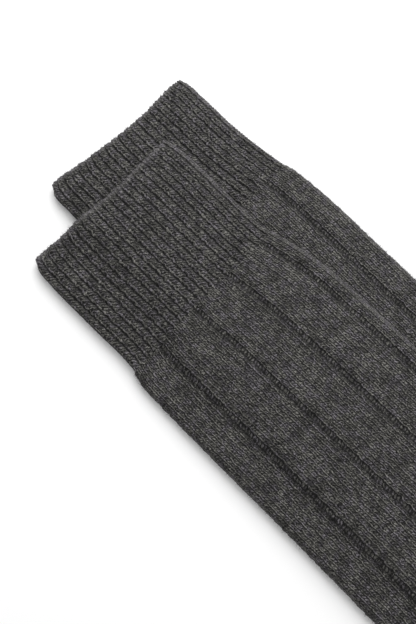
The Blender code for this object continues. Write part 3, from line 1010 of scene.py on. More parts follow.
class CuffZone(KnitZone):
    """The 1x1 ribbed cuff, with a scalloped mouth."""

    LIP = 0.8  # how far the mouth's rim comes down
    LIP_LENGTH = 1.8
    LIP_ROWS = (0.15, 0.4, 0.8)
    CLOSEST_ROWS = 0.1
    SCALLOP = 0.55  # how far a rib stands out at the mouth
    SCALLOP_REACH = 5.0
    SCALLOP_OF_RIBS, SCALLOP_OF_BUMPS, SCALLOP_UNEVEN = 0.6, 0.4, 0.35
    CORNER = 1.7  # how far the folds are drawn in there
    RIB_PITCH = 3.95
    NARROWER_RIBS = 7  # from the front edge
    FIRST_RIB_NARROWER = 0.8
    FINE_COLUMNS = 5  # over the start of each fold
    FINE_REACH = 5.0
    RIB_END, RIB_END_UNEVEN = 0.9, 0.35
    COURSES_TO_CLOSE = 1.5
    MOUTH_FRINGE_WIDTH = 1.4
    # halo of loose fibres with a painted highlight at the mouth, and the painted highlight along
    # the front fold
    MOUTH_HALO_AND_HIGHLIGHT_WIDTH = 2.7
    CUFF_FOLD_HIGHLIGHT_WIDTH = 5.0
    FOLD_HIGHLIGHT_THINS_AT = 56.0  # from the mouth
    FOLD_HIGHLIGHT_THINS_OVER = 25.0

    def groove_places(self) -> Array:
        """Spaces out the grooves between ribs.

        Returns:
            Their distances from the front edge, on a full-width leg.
        """
        wider = smoothstep(np.arange(SIZE.ribs) / self.NARROWER_RIBS)
        grooves = running(self.RIB_PITCH - self.FIRST_RIB_NARROWER * (1.0 - wider))
        return grooves * SIZE.leg_width / grooves[-1]

    def columns(self) -> Columns:
        """Sets out the columns of points, closer together at the folds.

        Returns:
            The columns, with their places in ribs from the back edge.
        """
        per_rib = 2 * self.columns_per_stitch
        grooves = self.groove_places()
        within = np.arange(per_rib) / per_rib
        parts = [a + within * (b - a) for a, b in zip(grooves, grooves[1:])]
        fine = SPACING.across_at(np.linspace(0.0, self.FINE_REACH, self.FINE_COLUMNS + 2)[1:-1])
        upper = np.concatenate(parts + [grooves[-1:], fine, SIZE.leg_width - fine])
        upper = np.unique(upper.round(4))
        stitch = SIZE.ribs - np.interp(upper, grooves, np.arange(SIZE.ribs + 1))
        return self.round_both_faces(upper, stitch, SIZE.ribs)

    def rows(self) -> Rows:
        """Sets out the cuff's rows, closer together at the lip.

        Returns:
            The rows.
        """
        even = super().rows().course * SIZE.course_pitch
        places = np.sort(np.concatenate([even, even[0] + self.LIP_ROWS]))
        places = places[np.concatenate([[True], np.diff(places) > self.CLOSEST_ROWS])]
        return Rows(self.form.lines_at(places), places / SIZE.course_pitch)

    def relief(self, wale: Array, course: Array, share: Array) -> Array:
        """Shapes the ribs, which close up over the last courses before the leg.

        Args:
            wale: Place of each point in ribs.
            course: Its place in courses.
            share: Its share of the flat width from the front edge; not used here.

        Returns:
            Its depth under the top of the cloth.
        """
        end = self.form.span(self.zone)[1] / SIZE.course_pitch
        rib_end = self.RIB_END + self.RIB_END_UNEVEN * self.stitches.uneven(wale, 0.0 * wale)
        fade = smoothstep((end - course) / rib_end / self.COURSES_TO_CLOSE)
        ribs = SIZE.rib_depth * (1.0 - self.stitches.rib(wale, course))
        plain = SIZE.stitch_depth * (1.0 - self.stitches.plain(2.0 * wale, course))
        return fade * ribs + (1.0 - fade) * plain

    def finish_ends(self, outside: Outside) -> None:
        """Rounds the lip over, scallops the mouth and draws its corners in.

        Args:
            outside: The cuff's outside.
        """
        columns, from_mouth = outside.columns, outside.rows.from_mouth
        lip = np.sqrt(1.0 - np.clip(from_mouth / self.LIP_LENGTH, 0.0, 1.0)) ** 3
        open_share = np.minimum(np.abs(outside.height - SIZE.half) / SIZE.half, 1.0)
        down = outside.per_point(np.where(columns.is_upper, 1.0, -1.0))
        outside.height -= down * self.LIP * outside.per_row_point(lip) * open_share
        near = outside.per_row_point(smoothstep(1.0 - from_mouth / self.SCALLOP_REACH))
        rib = outside.per_point(columns.stitch)
        bumps = 0.5 + 0.5 * np.cos(2.0 * math.tau * (rib % 1.0 - 0.25))
        reach = self.SCALLOP_OF_RIBS * (1.0 - outside.relief / SIZE.rib_depth)
        reach = reach + self.SCALLOP_OF_BUMPS * bumps
        uneven = self.stitches.uneven(2.0 * rib, 3.0 + 0.0 * rib)
        reach = reach + self.SCALLOP_UNEVEN * uneven
        at_fold = 1.0 - outside.per_point(SIZE.fold_round(columns.from_edge))
        outside.flat[:, 1] += near * (self.SCALLOP * reach - self.CORNER * at_fold)

    def fringe(self, columns: Columns, rows: Rows) -> Array:
        """How much the cloth turns over at each point, at the folds and the mouth."""
        at_mouth = 1.0 - smoothstep(rows.from_mouth / self.MOUTH_FRINGE_WIDTH)
        return np.maximum(super().fringe(columns, rows), at_mouth[:, None])

    def halo_and_painted_highlight(self, columns: Columns, rows: Rows) -> Array:
        """Spreads a painted highlight along the mouth and the front fold, with the loose fibres'
        halo at the mouth.

        Args:
            columns: The cuff's columns.
            rows: Its rows.

        Returns:
            How strong the halo and the painted highlight are at each point, from 0 to 1, ring by
            ring.
        """
        along_mouth = 1.0 - smoothstep(rows.from_mouth / self.MOUTH_HALO_AND_HIGHLIGHT_WIDTH)
        # the front fold's painted highlight thins down the cuff
        thick = smoothstep((self.FOLD_HIGHLIGHT_THINS_AT - rows.from_mouth) / self.FOLD_HIGHLIGHT_THINS_OVER)
        to_leg = self.FRONT_FOLD_HIGHLIGHT + (1.0 - self.FRONT_FOLD_HIGHLIGHT) * thick
        along_fold = 1.0 - smoothstep(columns.from_front / self.CUFF_FOLD_HIGHLIGHT_WIDTH)
        return np.maximum(to_leg[:, None] * along_fold, along_mouth[:, None])


class LegZone(KnitZone):
    """The plain leg, whose straight courses run out on the slanted line above the heel."""

    SQUARE_FROM = -6.0
    SQUARE_TO = -98.0
    CURVE_SAMPLES = 600

    def rows(self) -> Rows:
        """Sets out rows straight across the leg, then closing onto the slanted line.

        Returns:
            The rows.
        """
        curve = self.form.lines_at(np.linspace(*self.form.span(self.zone), self.CURVE_SAMPLES))
        step = SIZE.course_pitch / self.rows_per_course
        square = [[self.SQUARE_FROM] * 2, [self.SQUARE_TO] * 2]
        stops = np.array([curve[0, [1, 3]], *square, curve[-1, [1, 3]]])
        parts = []
        for above, below in zip(stops, stops[1:]):
            count = math.ceil(np.abs(below - above).max() / step)
            parts.append(above + np.arange(count)[:, None] / count * (below - above))
        front_y, back_y = np.concatenate(parts + [stops[-1:]]).T
        front_x = np.interp(-front_y, -curve[:, 1], curve[:, 0])
        back_x = np.interp(-back_y, -curve[:, 3], curve[:, 2])
        middle = np.full(len(front_y), 0.5)
        return Rows(np.column_stack([front_x, front_y, back_x, back_y, middle]), None)


class Rings:
    """The quads between the rings of a tube of points."""

    def __init__(self, shape: tuple[int, int]) -> None:
        """Numbers the quads.

        Args:
            shape: Numbers of rings and of points in a ring.
        """
        self.shape = shape
        sides = np.arange(shape[0] - 1), np.arange(shape[1])
        self.ring, self.column = np.meshgrid(*sides, indexing="ij")

    def corners(self, values: Array) -> Array:
        """Gives each quad the values at its corners.

        Args:
            values: One value for each point, ring by ring.

        Returns:
            An array of quads by four corners.
        """
        here, below = self.ring, self.ring + 1
        after = (self.column + 1) % self.shape[1]
        places = [(here, self.column), (here, after), (below, after), (below, self.column)]
        return np.stack([values[place] for place in places], -1).reshape(-1, 4)

    def across(self, left: Array, right: Array) -> Array:
        """The same for a value at both sides of each column of quads."""
        return np.stack([left, right, right, left], -1)[self.column].reshape(-1, 4)

    def down(self, of_ring: Array) -> Array:
        """The same for a value of each ring."""
        return self.corners(np.tile(of_ring[:, None], self.shape[1]))


class WallMesh:
    """Collects the faces of a closed wall and their maps, and makes the object."""

    STITCH_MAP = "Stitch"
    # map of the loose fibres' halo and of the painted highlight along the mouth and front fold
    HALO_AND_HIGHLIGHT_MAP = "Halo"
    BAKE_MAP = "OFBake"
    HIDDEN = 500.5  # place on the stitch map of faces that no stitch shows on
    # the upright leg is the one that the painted shade leaves lightest
    FIBRES = (600.23, 600.0)  # place of the fibres there, on the light leg of a stitch
    FIBRE_PLACES = 97
    CELL = 0.0006  # side of the place on the bake map of one small face
    CELLS_IN_ROW = 320
    UNDERSIDE_GAP = 0.003  # between the upper face and the underside on the bake map
    INSIDE_GAP = 0.006
    PLAIN_GAP = 0.002
    INSIDE_CELL = (0.002, 0.004)
    BAKE_MARGIN = 0.002  # round the whole bake map
    FACING_IN = [0, 3, 2, 1]  # a quad's corners taken the other way round

    def __init__(self, name: str) -> None:
        """Starts an empty wall.

        Args:
            name: The piece's name.
        """
        self.name = name
        self.points: list[Array] = []
        self.faces: list[Array] = []
        self.maps: dict[str, list[Array]] = {
            self.STITCH_MAP: [], self.HALO_AND_HIGHLIGHT_MAP: [], self.BAKE_MAP: []
        }
        self.outer_shape = (0, 0)
        self.inner_shape = (0, 0)

    @property
    def count(self) -> int:
        """Number of points so far."""
        return sum(len(part) for part in self.points)

    def add_faces(self, faces: Array, stitch: Array, halo: Array, bake: Array) -> None:
        """Adds faces.

        Args:
            faces: The numbers of their points.
            stitch: Place of each corner on the stitch map.
            halo: How strong the halo of loose fibres and the painted highlight are at each corner,
                from 0 to 1.
            bake: Place of each corner on the bake map.
        """
        self.faces.append(faces)
        self.maps[self.STITCH_MAP].append(stitch)
        self.maps[self.HALO_AND_HIGHLIGHT_MAP].append(np.stack([0.0 * halo, halo], -1))
        self.maps[self.BAKE_MAP].append(bake)

    def add_outside(
        self,
        outer: Array,
        columns: Columns,
        stitches: tuple[Array, Array],
        course: Array,
        halo: Array,
    ) -> None:
        """Adds the rings of the outside.

        Args:
            outer: Row-frame points, ring by ring.
            columns: The columns of each ring.
            stitches: Place in wales or ribs of both sides of each column of faces.
            course: Each point's place in courses.
            halo: How strong the halo of loose fibres and the painted highlight are at each point,
                from 0 to 1.
        """
        self.outer_shape = outer.shape[:2]
        self.points.append(outer.reshape(-1, 3))
        rings = Rings(self.outer_shape)
        arc = running(np.linalg.norm(np.diff(outer, axis=1, append=outer[:, :1]), axis=2).mean(0))
        is_upper = columns.is_upper & np.roll(columns.is_upper, -1)
        apart = np.where(is_upper, 0.0, self.UNDERSIDE_GAP)
        down = running(np.linalg.norm(np.diff(outer, axis=0), axis=2).max(1))
        self.add_faces(
            rings.corners(np.arange(self.count).reshape(self.outer_shape)),
            np.stack([rings.across(*stitches), rings.corners(course)], -1),
            rings.corners(halo),
            np.stack([rings.across(arc[:-1] + apart, arc[1:] + apart), rings.down(down)], -1),
        )

    def add_inside(self, inner: Array) -> None:
        """Adds the rings of the plain inside, facing the hollow.

        Args:
            inner: Row-frame points, ring by ring.
        """
        self.inner_shape = inner.shape[:2]
        numbers = self.count + np.arange(inner[..., 0].size).reshape(self.inner_shape)
        self.points.append(inner.reshape(-1, 3))
        rings = Rings(self.inner_shape)
        wide, high = self.INSIDE_CELL
        beside = self.maps[self.BAKE_MAP][0][..., 0].max() + self.INSIDE_GAP
        left = beside + wide * np.arange(self.inner_shape[1])
        down = rings.down(high * np.arange(self.inner_shape[0]))
        bake = np.stack([rings.across(left, left + wide), down], -1)[:, self.FACING_IN]
        faces = rings.corners(numbers)[:, self.FACING_IN]
        self.add_faces(faces, np.full(bake.shape, self.HIDDEN), np.zeros(faces.shape), bake)

    def close_end(
        self, outer_ring: int, outer_share: Array, inner_ring: int, inner_share: Array
    ) -> None:
        """Joins a ring of the outside to a ring of the inside with a flat end.

        Args:
            outer_ring: Number of the outside's ring.
            outer_share: Its points' shares of the way round.
            inner_ring: Number of the inside's ring.
            inner_share: Its points' shares of the way round.
        """
        outer_count, inner_count = len(outer_share), len(inner_share)
        outer_first = outer_ring * outer_count
        inner_first = math.prod(self.outer_shape) + inner_ring * inner_count
        outer_next, inner_next = np.append(outer_share, 1.0), np.append(inner_share, 1.0)
        faces: list[tuple[int, int, int]] = []
        i = j = 0
        while i < outer_count or j < inner_count:
            outer_now = outer_first + i % outer_count
            inner_now = inner_first + j % inner_count
            if j == inner_count or (i < outer_count and outer_next[i + 1] <= inner_next[j + 1]):
                i += 1
                faces.append((outer_now, outer_first + i % outer_count, inner_now))
            else:
                j += 1
                faces.append((outer_now, inner_first + j % inner_count, inner_now))
        triangles = np.array(faces)
        self.add_plain(triangles[:, ::-1] if outer_ring == 0 else triangles)

    def add_plain(self, faces: Array, stitch: Array | None = None) -> None:
        """Adds faces that lie off the knit, each with a small place of its own to bake to.

        Args:
            faces: The numbers of their points.
            stitch: Place of each corner on the stitch map, if a stitch shows there.
        """
        corner = np.arange(faces.shape[1])
        index = np.arange(len(faces))[:, None]
        beside = max(part[..., 1].max() for part in self.maps[self.BAKE_MAP]) + self.PLAIN_GAP
        filled = self.CELL * 2 / 3
        left = self.CELL * (index % self.CELLS_IN_ROW) + filled * ((corner + 1) // 2 % 2)
        high = beside + self.CELL * (index // self.CELLS_IN_ROW) + filled * (corner // 2)
        bake = np.stack([left, high], -1)
        if stitch is None:
            stitch = np.full(bake.shape, self.HIDDEN)
        self.add_faces(faces, stitch, np.ones(faces.shape), bake)

    def add_fibres(self, points: Array, quads: Array, triangles: Array) -> None:
        """Adds loose fibres.

        Args:
            points: Their points in metres.
            quads: Their four-sided faces, numbered from their first point.
            triangles: Their three-sided faces, numbered so too.
        """
        first = self.count
        self.points.append(points)
        for faces in (quads, triangles):
            corners = faces.shape[1]
            fibre = np.arange(len(faces)) // (7 - corners) % self.FIBRE_PLACES
            place = np.array(self.FIBRES) + np.stack([0.0 * fibre, fibre], -1)
            self.add_plain(faces + first, np.repeat(place[:, None], corners, axis=1))

    def cap_ends(self) -> None:
        """Closes the last ring of the outside and of the inside, at the tip of the toe."""
        outer_count = math.prod(self.outer_shape)
        for (rings, count), first, turn in (
            (self.outer_shape, 0, 1),
            (self.inner_shape, outer_count, -1),
        ):
            ring = first + (rings - 1) * count + np.arange(count)
            upper = ring[1 : (count + 1) // 2]
            lower = ring[: count // 2 : -1]
            pairs = min(len(upper), len(lower))
            strip = [(upper[k], upper[k + 1], lower[k + 1], lower[k]) for k in range(pairs - 1)]
            far = ring[(count + 1) // 2 : count // 2 + 1]
            front = [(ring[0], upper[0], lower[0])]
            back = [(upper[pairs - 1], *upper[pairs:], *far, *lower[pairs:], lower[pairs - 1])]
            for faces in (strip, front, back):
                self.add_plain(np.array(faces)[:, ::turn])

    def finish(self, smooth_mouth: bool) -> bpy.types.Object:
        """Makes the object, smooth-shaded and with its maps.

        Args:
            smooth_mouth: Whether the first ring rounds over into the inside.

        Returns:
            The new piece.
        """
        mesh = bpy.data.meshes.new(self.name)
        faces = [tuple(face) for part in self.faces for face in part.tolist()]
        mesh.from_pydata(np.concatenate(self.points).tolist(), [], faces)
        for name, parts in self.maps.items():
            flat = np.concatenate([part.reshape(-1, 2) for part in parts])
            if name == self.BAKE_MAP:
                flat = flat / flat.max() * (1.0 - 2 * self.BAKE_MARGIN) + self.BAKE_MARGIN
            mesh.uv_layers.new(name=name).uv.foreach_set("vector", flat.astype(np.float32).ravel())
        mesh.shade_smooth()
        self.sharpen_ends(mesh, smooth_mouth)
        return placed(self.name, mesh)

    def sharpen_ends(self, mesh: bpy.types.Mesh, smooth_mouth: bool) -> None:
        """Keeps the flat ends between zones out of the outside's smooth shading.

        Args:
            mesh: The zone's mesh.
            smooth_mouth: Whether the first ring stays smooth.
        """
        rings, count = self.outer_shape
        edges = np.empty(2 * len(mesh.edges), int)
        mesh.edges.foreach_get("vertices", edges)
        edges = edges.reshape(-1, 2)
        is_end = ((edges >= (rings - 1) * count) & (edges < rings * count)).all(1)
        if not smooth_mouth:
            is_end |= (edges < count).all(1)
        mesh.attributes.new("sharp_edge", "BOOLEAN", "EDGE").data.foreach_set("value", is_end)


@dataclass
class Signal:
    """A shader value that can be used in plain arithmetic."""

    graph: MaterialGraph
    socket: bpy.types.NodeSocket

    def __add__(self, other: Value) -> Signal:
        """Sum."""
        return self.graph.maths("ADD", self, other)

    __radd__ = __add__

    def __sub__(self, other: Value) -> Signal:
        """Difference."""
        return self.graph.maths("SUBTRACT", self, other)

    def __rsub__(self, other: float) -> Signal:
        """Difference from a number."""
        return self.graph.maths("SUBTRACT", other, self)

    def __mul__(self, other: Value) -> Signal:
        """Product."""
        return self.graph.maths("MULTIPLY", self, other)

    __rmul__ = __mul__

    def __truediv__(self, other: Value) -> Signal:
        """Quotient."""
        return self.graph.maths("DIVIDE", self, other)

    def floor(self) -> Signal:
        """Whole part."""
        return self.graph.maths("FLOOR", self)

    def fraction(self) -> Signal:
        """Part after the point, from 0 to 1."""
        return self.graph.maths("FRACT", self)

    def power(self, exponent: float) -> Signal:
        """Power of the value where it is positive."""
        return self.graph.maths("POWER", self.at_least(0.0), exponent)

    def absolute(self) -> Signal:
        """Size without sign."""
        return self.graph.maths("ABSOLUTE", self)

    def at_least(self, other: Value) -> Signal:
        """The larger of two values."""
        return self.graph.maths("MAXIMUM", self, other)

    def at_most(self, other: Value) -> Signal:
        """The smaller of two values."""
        return self.graph.maths("MINIMUM", self, other)

    def below(self, other: Value) -> Signal:
        """1 where the value is less than the other, else 0."""
        return self.graph.maths("LESS_THAN", self, other)

    def smooth(self, low: float, high: float) -> Signal:
        """0 at low, 1 at high, and smooth between."""
        inputs = {"Value": self, "From Min": low, "From Max": high}
        return self.graph.node("MapRange", inputs, "Result", interpolation_type="SMOOTHSTEP")

    def ridge(self, middle: float, half_width: float) -> Signal:
        """A round ridge: 1 at its middle and 0 beyond half its width."""
        away = (self - middle).absolute() / half_width
        return (1.0 - away * away).power(0.7)

    def beat(self) -> Signal:
        """A wave from 0 to 1, once in each whole step, highest at whole numbers."""
        return self.graph.maths("COSINE", self * math.tau) * 0.5 + 0.5


class MaterialGraph:
    """Builds one procedural material, node by node."""

    def __init__(self, name: str) -> None:
        """Starts a material with its principled shader.

        Args:
            name: The material's name.
        """
        self.material = bpy.data.materials.new(name)
        self.material.use_nodes = True
        self.tree = self.material.node_tree

    def feed(self, sockets: bpy.types.bpy_prop_collection, values: dict[str | int, Value]) -> None:
        """Links signals to sockets, and sets plain numbers and colours on them.

        Args:
            sockets: A node's inputs.
            values: Their values, by a socket's name or number.
        """
        for key, value in values.items():
            if isinstance(value, Signal):
                self.tree.links.new(value.socket, sockets[key])
            else:
                sockets[key].default_value = value

    def shade(self, values: dict[str, Value]) -> None:
        """Sets inputs of the principled shader."""
        self.feed(self.tree.nodes["Principled BSDF"].inputs, values)

    def node(
        self, kind: str, values: dict[str | int, Value], output: str | int, **settings: str
    ) -> Signal:
        """Adds a node.

        Args:
            kind: Its kind, as Blender names it.
            values: Its inputs, by a socket's name or number.
            output: Which of its outputs is wanted.
            settings: Its other settings.

        Returns:
            That output.
        """
        node = self.tree.nodes.new(f"ShaderNode{kind}")
        for name, setting in settings.items():
            setattr(node, name, setting)
        self.feed(node.inputs, values)
        return Signal(self, node.outputs[output])

    def maths(self, operation: str, *values: Value) -> Signal:
        """One arithmetic node, with Blender's name of the operation and its inputs in order."""
        return self.node("Math", dict(enumerate(values)), 0, operation=operation)

    def mixed(self, share: Signal, first: Value, second: Value) -> Signal:
        """A mixture of two colours by the share of the second."""
        return self.node("Mix", {0: share, 6: first, 7: second}, 2, data_type="RGBA")

    def speckle(self, x: Signal, y: Signal) -> Signal:
        """A random number from 0 to 1 for each whole place."""
        place = self.node("CombineXYZ", {0: x.floor(), 1: y.floor()}, 0)
        return self.node("TexWhiteNoise", {"Vector": place}, "Value", noise_dimensions="2D")


class KnitGraph(MaterialGraph):
    """A material on the knit: it knows its place, its stitches, and its halo with the painted
    highlight.
    """

    def __init__(self, name: str) -> None:
        """Reads the place in millimetres, and the halo of loose fibres with the painted highlight
        along the mouth and front fold.

        Args:
            name: The material's name.
        """
        super().__init__(name)
        place = self.node("TexCoord", {}, "Object")
        self.place = self.node("VectorMath", {0: place, "Scale": 1 / MM}, 0, operation="SCALE")
        # halo of loose fibres, and painted highlight along the mouth and the front fold
        self.halo = self.map_value(WallMesh.HALO_AND_HIGHLIGHT_MAP, "Y")

    def map_value(self, name: str, axis: str) -> Signal:
        """One coordinate of one of the mesh's maps."""
        place = self.node("UVMap", {}, "UV", uv_map=name)
        return self.node("SeparateXYZ", {"Vector": place}, axis)

    def cloud(self, scale: float, detail: float = 2.0, rough: float = 0.5) -> Signal:
        """Soft noise from 0 to 1."""
        values = {"Vector": self.place, "Scale": scale, "Detail": detail, "Roughness": rough}
        return self.node("TexNoise", values, "Fac", noise_dimensions="3D")

    def wandered(self, sway: float) -> tuple[Signal, Signal]:
        """Reads the stitch map, moved a little so that no line of stitches is quite straight.

        Args:
            sway: How far places in wales or ribs move at most.

        Returns:
            Place in wales or ribs, and in courses.
        """
        across, course = (self.map_value(WallMesh.STITCH_MAP, axis) for axis in "XY")
        course = course + (self.cloud(0.12, 1.0) - 0.5) * 0.7
        course = course + (self.cloud(0.9, 1.0) - 0.5) * 1.4
        course = course + self.speckle(across, across) * 0.5
        return across + (self.cloud(0.75, 1.0) - 0.5) * sway, course


@dataclass(frozen=True)
class Grain:
    """Soft noise in the yarn: its scale, detail and roughness, and where it starts and is full."""

    scale: float
    detail: float
    rough: float
    low: float
    high: float

    def on(self, graph: KnitGraph) -> Signal:
        """The grain on a material, from 0 to 1."""
        return graph.cloud(self.scale, self.detail, self.rough).smooth(self.low, self.high)


@dataclass(frozen=True)
class MarlYarn:
    """The yarn: dark and light fibres spun together, with a soft halo, and a painted highlight
    along the mouth and front fold.

    Each grain is a kind of unevenness in it: fine and finest fibres, light patches, the halo's
    strands, cooler places, loose fibres that veil the stitches, and single light flecks.
    """

    dark: Colour = (0.0040, 0.0038, 0.0037, 1.0)
    light: Colour = (0.213, 0.2085, 0.191, 1.0)
    cool: Colour = (0.210, 0.197, 0.215, 1.0)
    # how light the halo and the painted highlight make the cloth
    halo_and_highlight_shade: float = 1.38
    roughness: float = 0.95
    gloss: float = 0.15
    sheen: float = 0.12
    sheen_roughness: float = 0.5
    sheen_tint: Colour = (0.75, 0.74, 0.74, 1.0)
    fuzz: float = 0.6
    fine: Grain = Grain(1.25, 2.0, 0.6, 0.34, 0.66)
    finest: Grain = Grain(2.9, 1.0, 0.5, 0.32, 0.68)
    patches: Grain = Grain(0.15, 2.0, 0.55, 0.28, 0.72)
    strands: Grain = Grain(1.5, 1.0, 0.6, 0.30, 0.62)
    cooler: Grain = Grain(0.36, 1.0, 0.5, 0.44, 0.64)
    veils: Grain = Grain(0.55, 2.0, 0.5, 0.54, 0.72)
    flecks: Grain = Grain(1.7, 0.0, 0.5, 0.67, 0.76)

    def fibres(self, graph: KnitGraph, patchy: float) -> Signal:
        """Draws patches, streaks and single fibres.

        Args:
            graph: The material.
            patchy: How much the patches show.

        Returns:
            How light the fibres are.
        """
        fibres = (0.54 + self.fine.on(graph) * 0.74) * (0.50 + self.finest.on(graph))
        return fibres * (1.0 - patchy / 2 + self.patches.on(graph) * patchy)

    def haloed_and_highlit(self, graph: KnitGraph, shade: Signal) -> Signal:
        """Lightens the loose fibres, and lays a painted highlight along the mouth and the front
        fold over the stitches.

        Args:
            graph: The material.
            shade: The stitches' shade.

        Returns:
            The shade.
        """
        # halo of loose fibres and painted highlight, broken into strands
        halo = graph.halo * (self.strands.on(graph) * 0.45 + 0.45)
        return shade * (1.0 - halo) + halo * self.halo_and_highlight_shade

    def dress(self, graph: KnitGraph, tone: Signal, height: Signal, depth: float) -> None:
        """Gives a material the yarn's colours, fibres and bump.

        Args:
            graph: The material.
            tone: Share of light fibres, around 0.2, with the painted shade and highlight worked in.
            height: Height of the stitches, from 0 to 1.
            depth: What a height of 1 stands for, in metres.
        """
        # cooler where the halo and the painted highlight lie
        hue = self.cooler.on(graph).at_least(graph.halo * 0.7)
        light = graph.mixed(hue, self.light, self.cool)
        rough = height + (graph.cloud(3.4, 1.0) - 0.5) * self.fuzz
        bump = {"Strength": 1.0, "Distance": depth, "Height": rough}
        graph.shade(
            {
                "Base Color": graph.mixed(tone.at_least(0.0).at_most(1.0), self.dark, light),
                "Normal": graph.node("Bump", bump, "Normal"),
                "Roughness": self.roughness,
                "Specular IOR Level": self.gloss,
                "Sheen Weight": self.sheen,
                "Sheen Roughness": self.sheen_roughness,
                "Sheen Tint": self.sheen_tint,
            }
        )


@dataclass(frozen=True)
class StitchLook:
    """What a knit draws: the stitches' height, the painted shade in the gaps between loops and in a
    sunk wale or groove, and how light each stitch is.
    """

    height: Signal
    painted_eye_shade: Signal
    sunk: Signal
    lightness: Signal


@dataclass(frozen=True)
class Knit:
    """A knit's finish.

    depth is what its bump stands for in metres and level its share of light fibres. sway is how far
    the lines of stitches wander. crest and gain tell how narrow the stitches' tops are and how much
    lighter than their lower parts they are painted: painted shade in the hollows. veil and patchy
    tell how much of them loose fibres and light patches cover.
    """

    name: str
    depth: float
    level: float
    sway: float
    crest: float
    gain: float
    veil: float
    patchy: float
    yarn: MarlYarn = MarlYarn()

    def draw(self, graph: KnitGraph, across: Signal, course: Signal) -> StitchLook:
        """Draws the stitches of this knit, from the place in wales or ribs and in courses."""
        raise NotImplementedError

    def material(self) -> bpy.types.Material:
        """Makes the procedural material.

        Returns:
            The material.
        """
        graph = KnitGraph(self.name)
        look = self.draw(graph, *graph.wandered(self.sway))
        veil = self.yarn.veils.on(graph) * self.veil
        # painted shade: the lower a place lies in the stitches, the darker it is painted; each
        # stitch's lightness also varies at random
        shade = (0.05 + look.height.power(self.crest) * self.gain) * (0.50 + look.lightness)
        shade = shade * (1.0 - look.painted_eye_shade.at_most(0.95)) * (1.0 - veil) + veil * 0.55
        # painted shade in the sunk purl wale or the rib grooves, then the halo and painted
        # highlight
        shade = self.yarn.haloed_and_highlit(graph, shade * (1.0 - look.sunk))
        tone = shade * self.yarn.fibres(graph, self.patchy) * self.level
        # light flecks in the yarn, made stronger on the stitches' tops as a painted highlight
        tone = tone + self.yarn.flecks.on(graph) * look.height * 0.30
        self.yarn.dress(graph, tone, look.height, self.depth)
        return graph.material


@dataclass(frozen=True)
class PlainKnit(Knit):
    """Plain knit with a sunk purl wale between panels.

    Each stitch has an upright leg and a slanting one, with an eye between them that is painted dark
    as shade. The purl wale has one head a course, with an eye on each side that is painted dark as
    shade. Each pair is the middle and half the width of a ridge, in wales.
    """

    UPRIGHT, SLANTING, BESIDE_PURL = (0.23, 0.14), (0.68, 0.32), (0.74, 0.14)
    # where the gaps between loops lie, which are painted dark as shade
    EYE, SEAM_EYE = (0.46, 0.18), (0.97, 0.15)
    PURL_HEAD, PURL_EYE = (0.0, 0.44), (0.55, 0.34)

    def draw(self, graph: KnitGraph, across: Signal, course: Signal) -> StitchLook:
        """Draws plain stitches and the purl wale.

        Args:
            graph: The material.
            across: Place in wales.
            course: Place in courses.

        Returns:
            The stitches.
        """
        wale, across, panel = across, across.fraction(), SIZE.panel_wales
        off = ((wale + (panel - 1) / 2) / panel).fraction() * panel - panel / 2
        off = off + (graph.cloud(0.8, 1.0) - 0.5) * 0.5
        is_purl = off.absolute().below(0.5)
        slant = (course - across * 1.5 + graph.speckle(wale + 0.7, course * 2.0) * 0.3).beat()
        left = across.ridge(*self.UPRIGHT) * ((course + across * 0.4).beat() * 0.5 + 0.55)
        right = across.ridge(*self.SLANTING) * (slant * 0.68 + 0.14)
        loops = left.at_least(right) + off.ridge(*self.BESIDE_PURL) * 0.5
        # painted shade in the gap between a stitch's legs and at the seam between wales
        painted_eye_shade = across.ridge(*self.EYE) * (course - 0.24).beat()
        painted_eye_shade = painted_eye_shade.at_least(across.ridge(*self.SEAM_EYE) * (course + 0.2).beat())
        heads = off.ridge(*self.PURL_HEAD) * (course + off * 0.5).beat()
        # painted shade in the gaps beside the purl heads
        purl_eyes = (off + 0.08).absolute().ridge(*self.PURL_EYE)
        purl_eyes = purl_eyes * (course + off * 0.5 + 0.5).beat() * 1.2
        painted_eye_shade = (painted_eye_shade * (1.0 - is_purl)).at_least(purl_eyes)
        return StitchLook(
            height=loops * (1.0 - is_purl) + heads * is_purl * 0.75,
            painted_eye_shade=painted_eye_shade * (0.35 + graph.speckle(wale + 0.2, course + 0.5) * 0.85),
            # painted shade over the sunk purl wale
            sunk=(1.0 - (off + 0.22).absolute().smooth(0.5, 1.3)) * 0.32,
            lightness=graph.speckle(wale * 2.0, course + across.below(0.5) * 0.37),
        )


@dataclass(frozen=True)
class RibKnit(Knit):
    """1x1 rib: each raised wale has an upright leg and slanting strokes beside it."""

    UPRIGHT, SLANTING, EYE = (0.21, 0.12), (0.62, 0.34), (0.36, 0.13)
    SLANT = 2.2

    def draw(self, graph: KnitGraph, across: Signal, course: Signal) -> StitchLook:
        """Draws the ribs and the grooves between them.

        Args:
            graph: The material.
            across: Place in ribs.
            course: Place in courses.

        Returns:
            The stitches.
        """
        rib, across = across, across.fraction()
        strokes = (course - across * self.SLANT).beat() * 0.85 + 0.1
        left = across.ridge(*self.UPRIGHT) * ((course + across * 0.4).beat() * 0.4 + 0.75)
        # painted shade in the gap beside the upright leg
        painted_eye_shade = across.ridge(*self.EYE) * (course - self.EYE[0] * self.SLANT + 0.5).beat()
        spotty = graph.speckle(rib + 0.5, course * 1.4) * 0.85 + 0.15
        # painted shade in the grooves between ribs, left out under the halo and painted highlight
        groove = (across - 0.5).absolute().smooth(0.42, 0.49) * spotty * (1.0 - graph.halo)
        return StitchLook(
            height=left.at_least(across.ridge(*self.SLANTING) * strokes),
            painted_eye_shade=painted_eye_shade * (0.5 + graph.speckle(rib + 0.2, course + 0.5) * 0.8),
            sunk=groove.at_most(0.85),
            lightness=graph.speckle(rib * 3.0, course + across.below(0.40) * 0.37),
        )


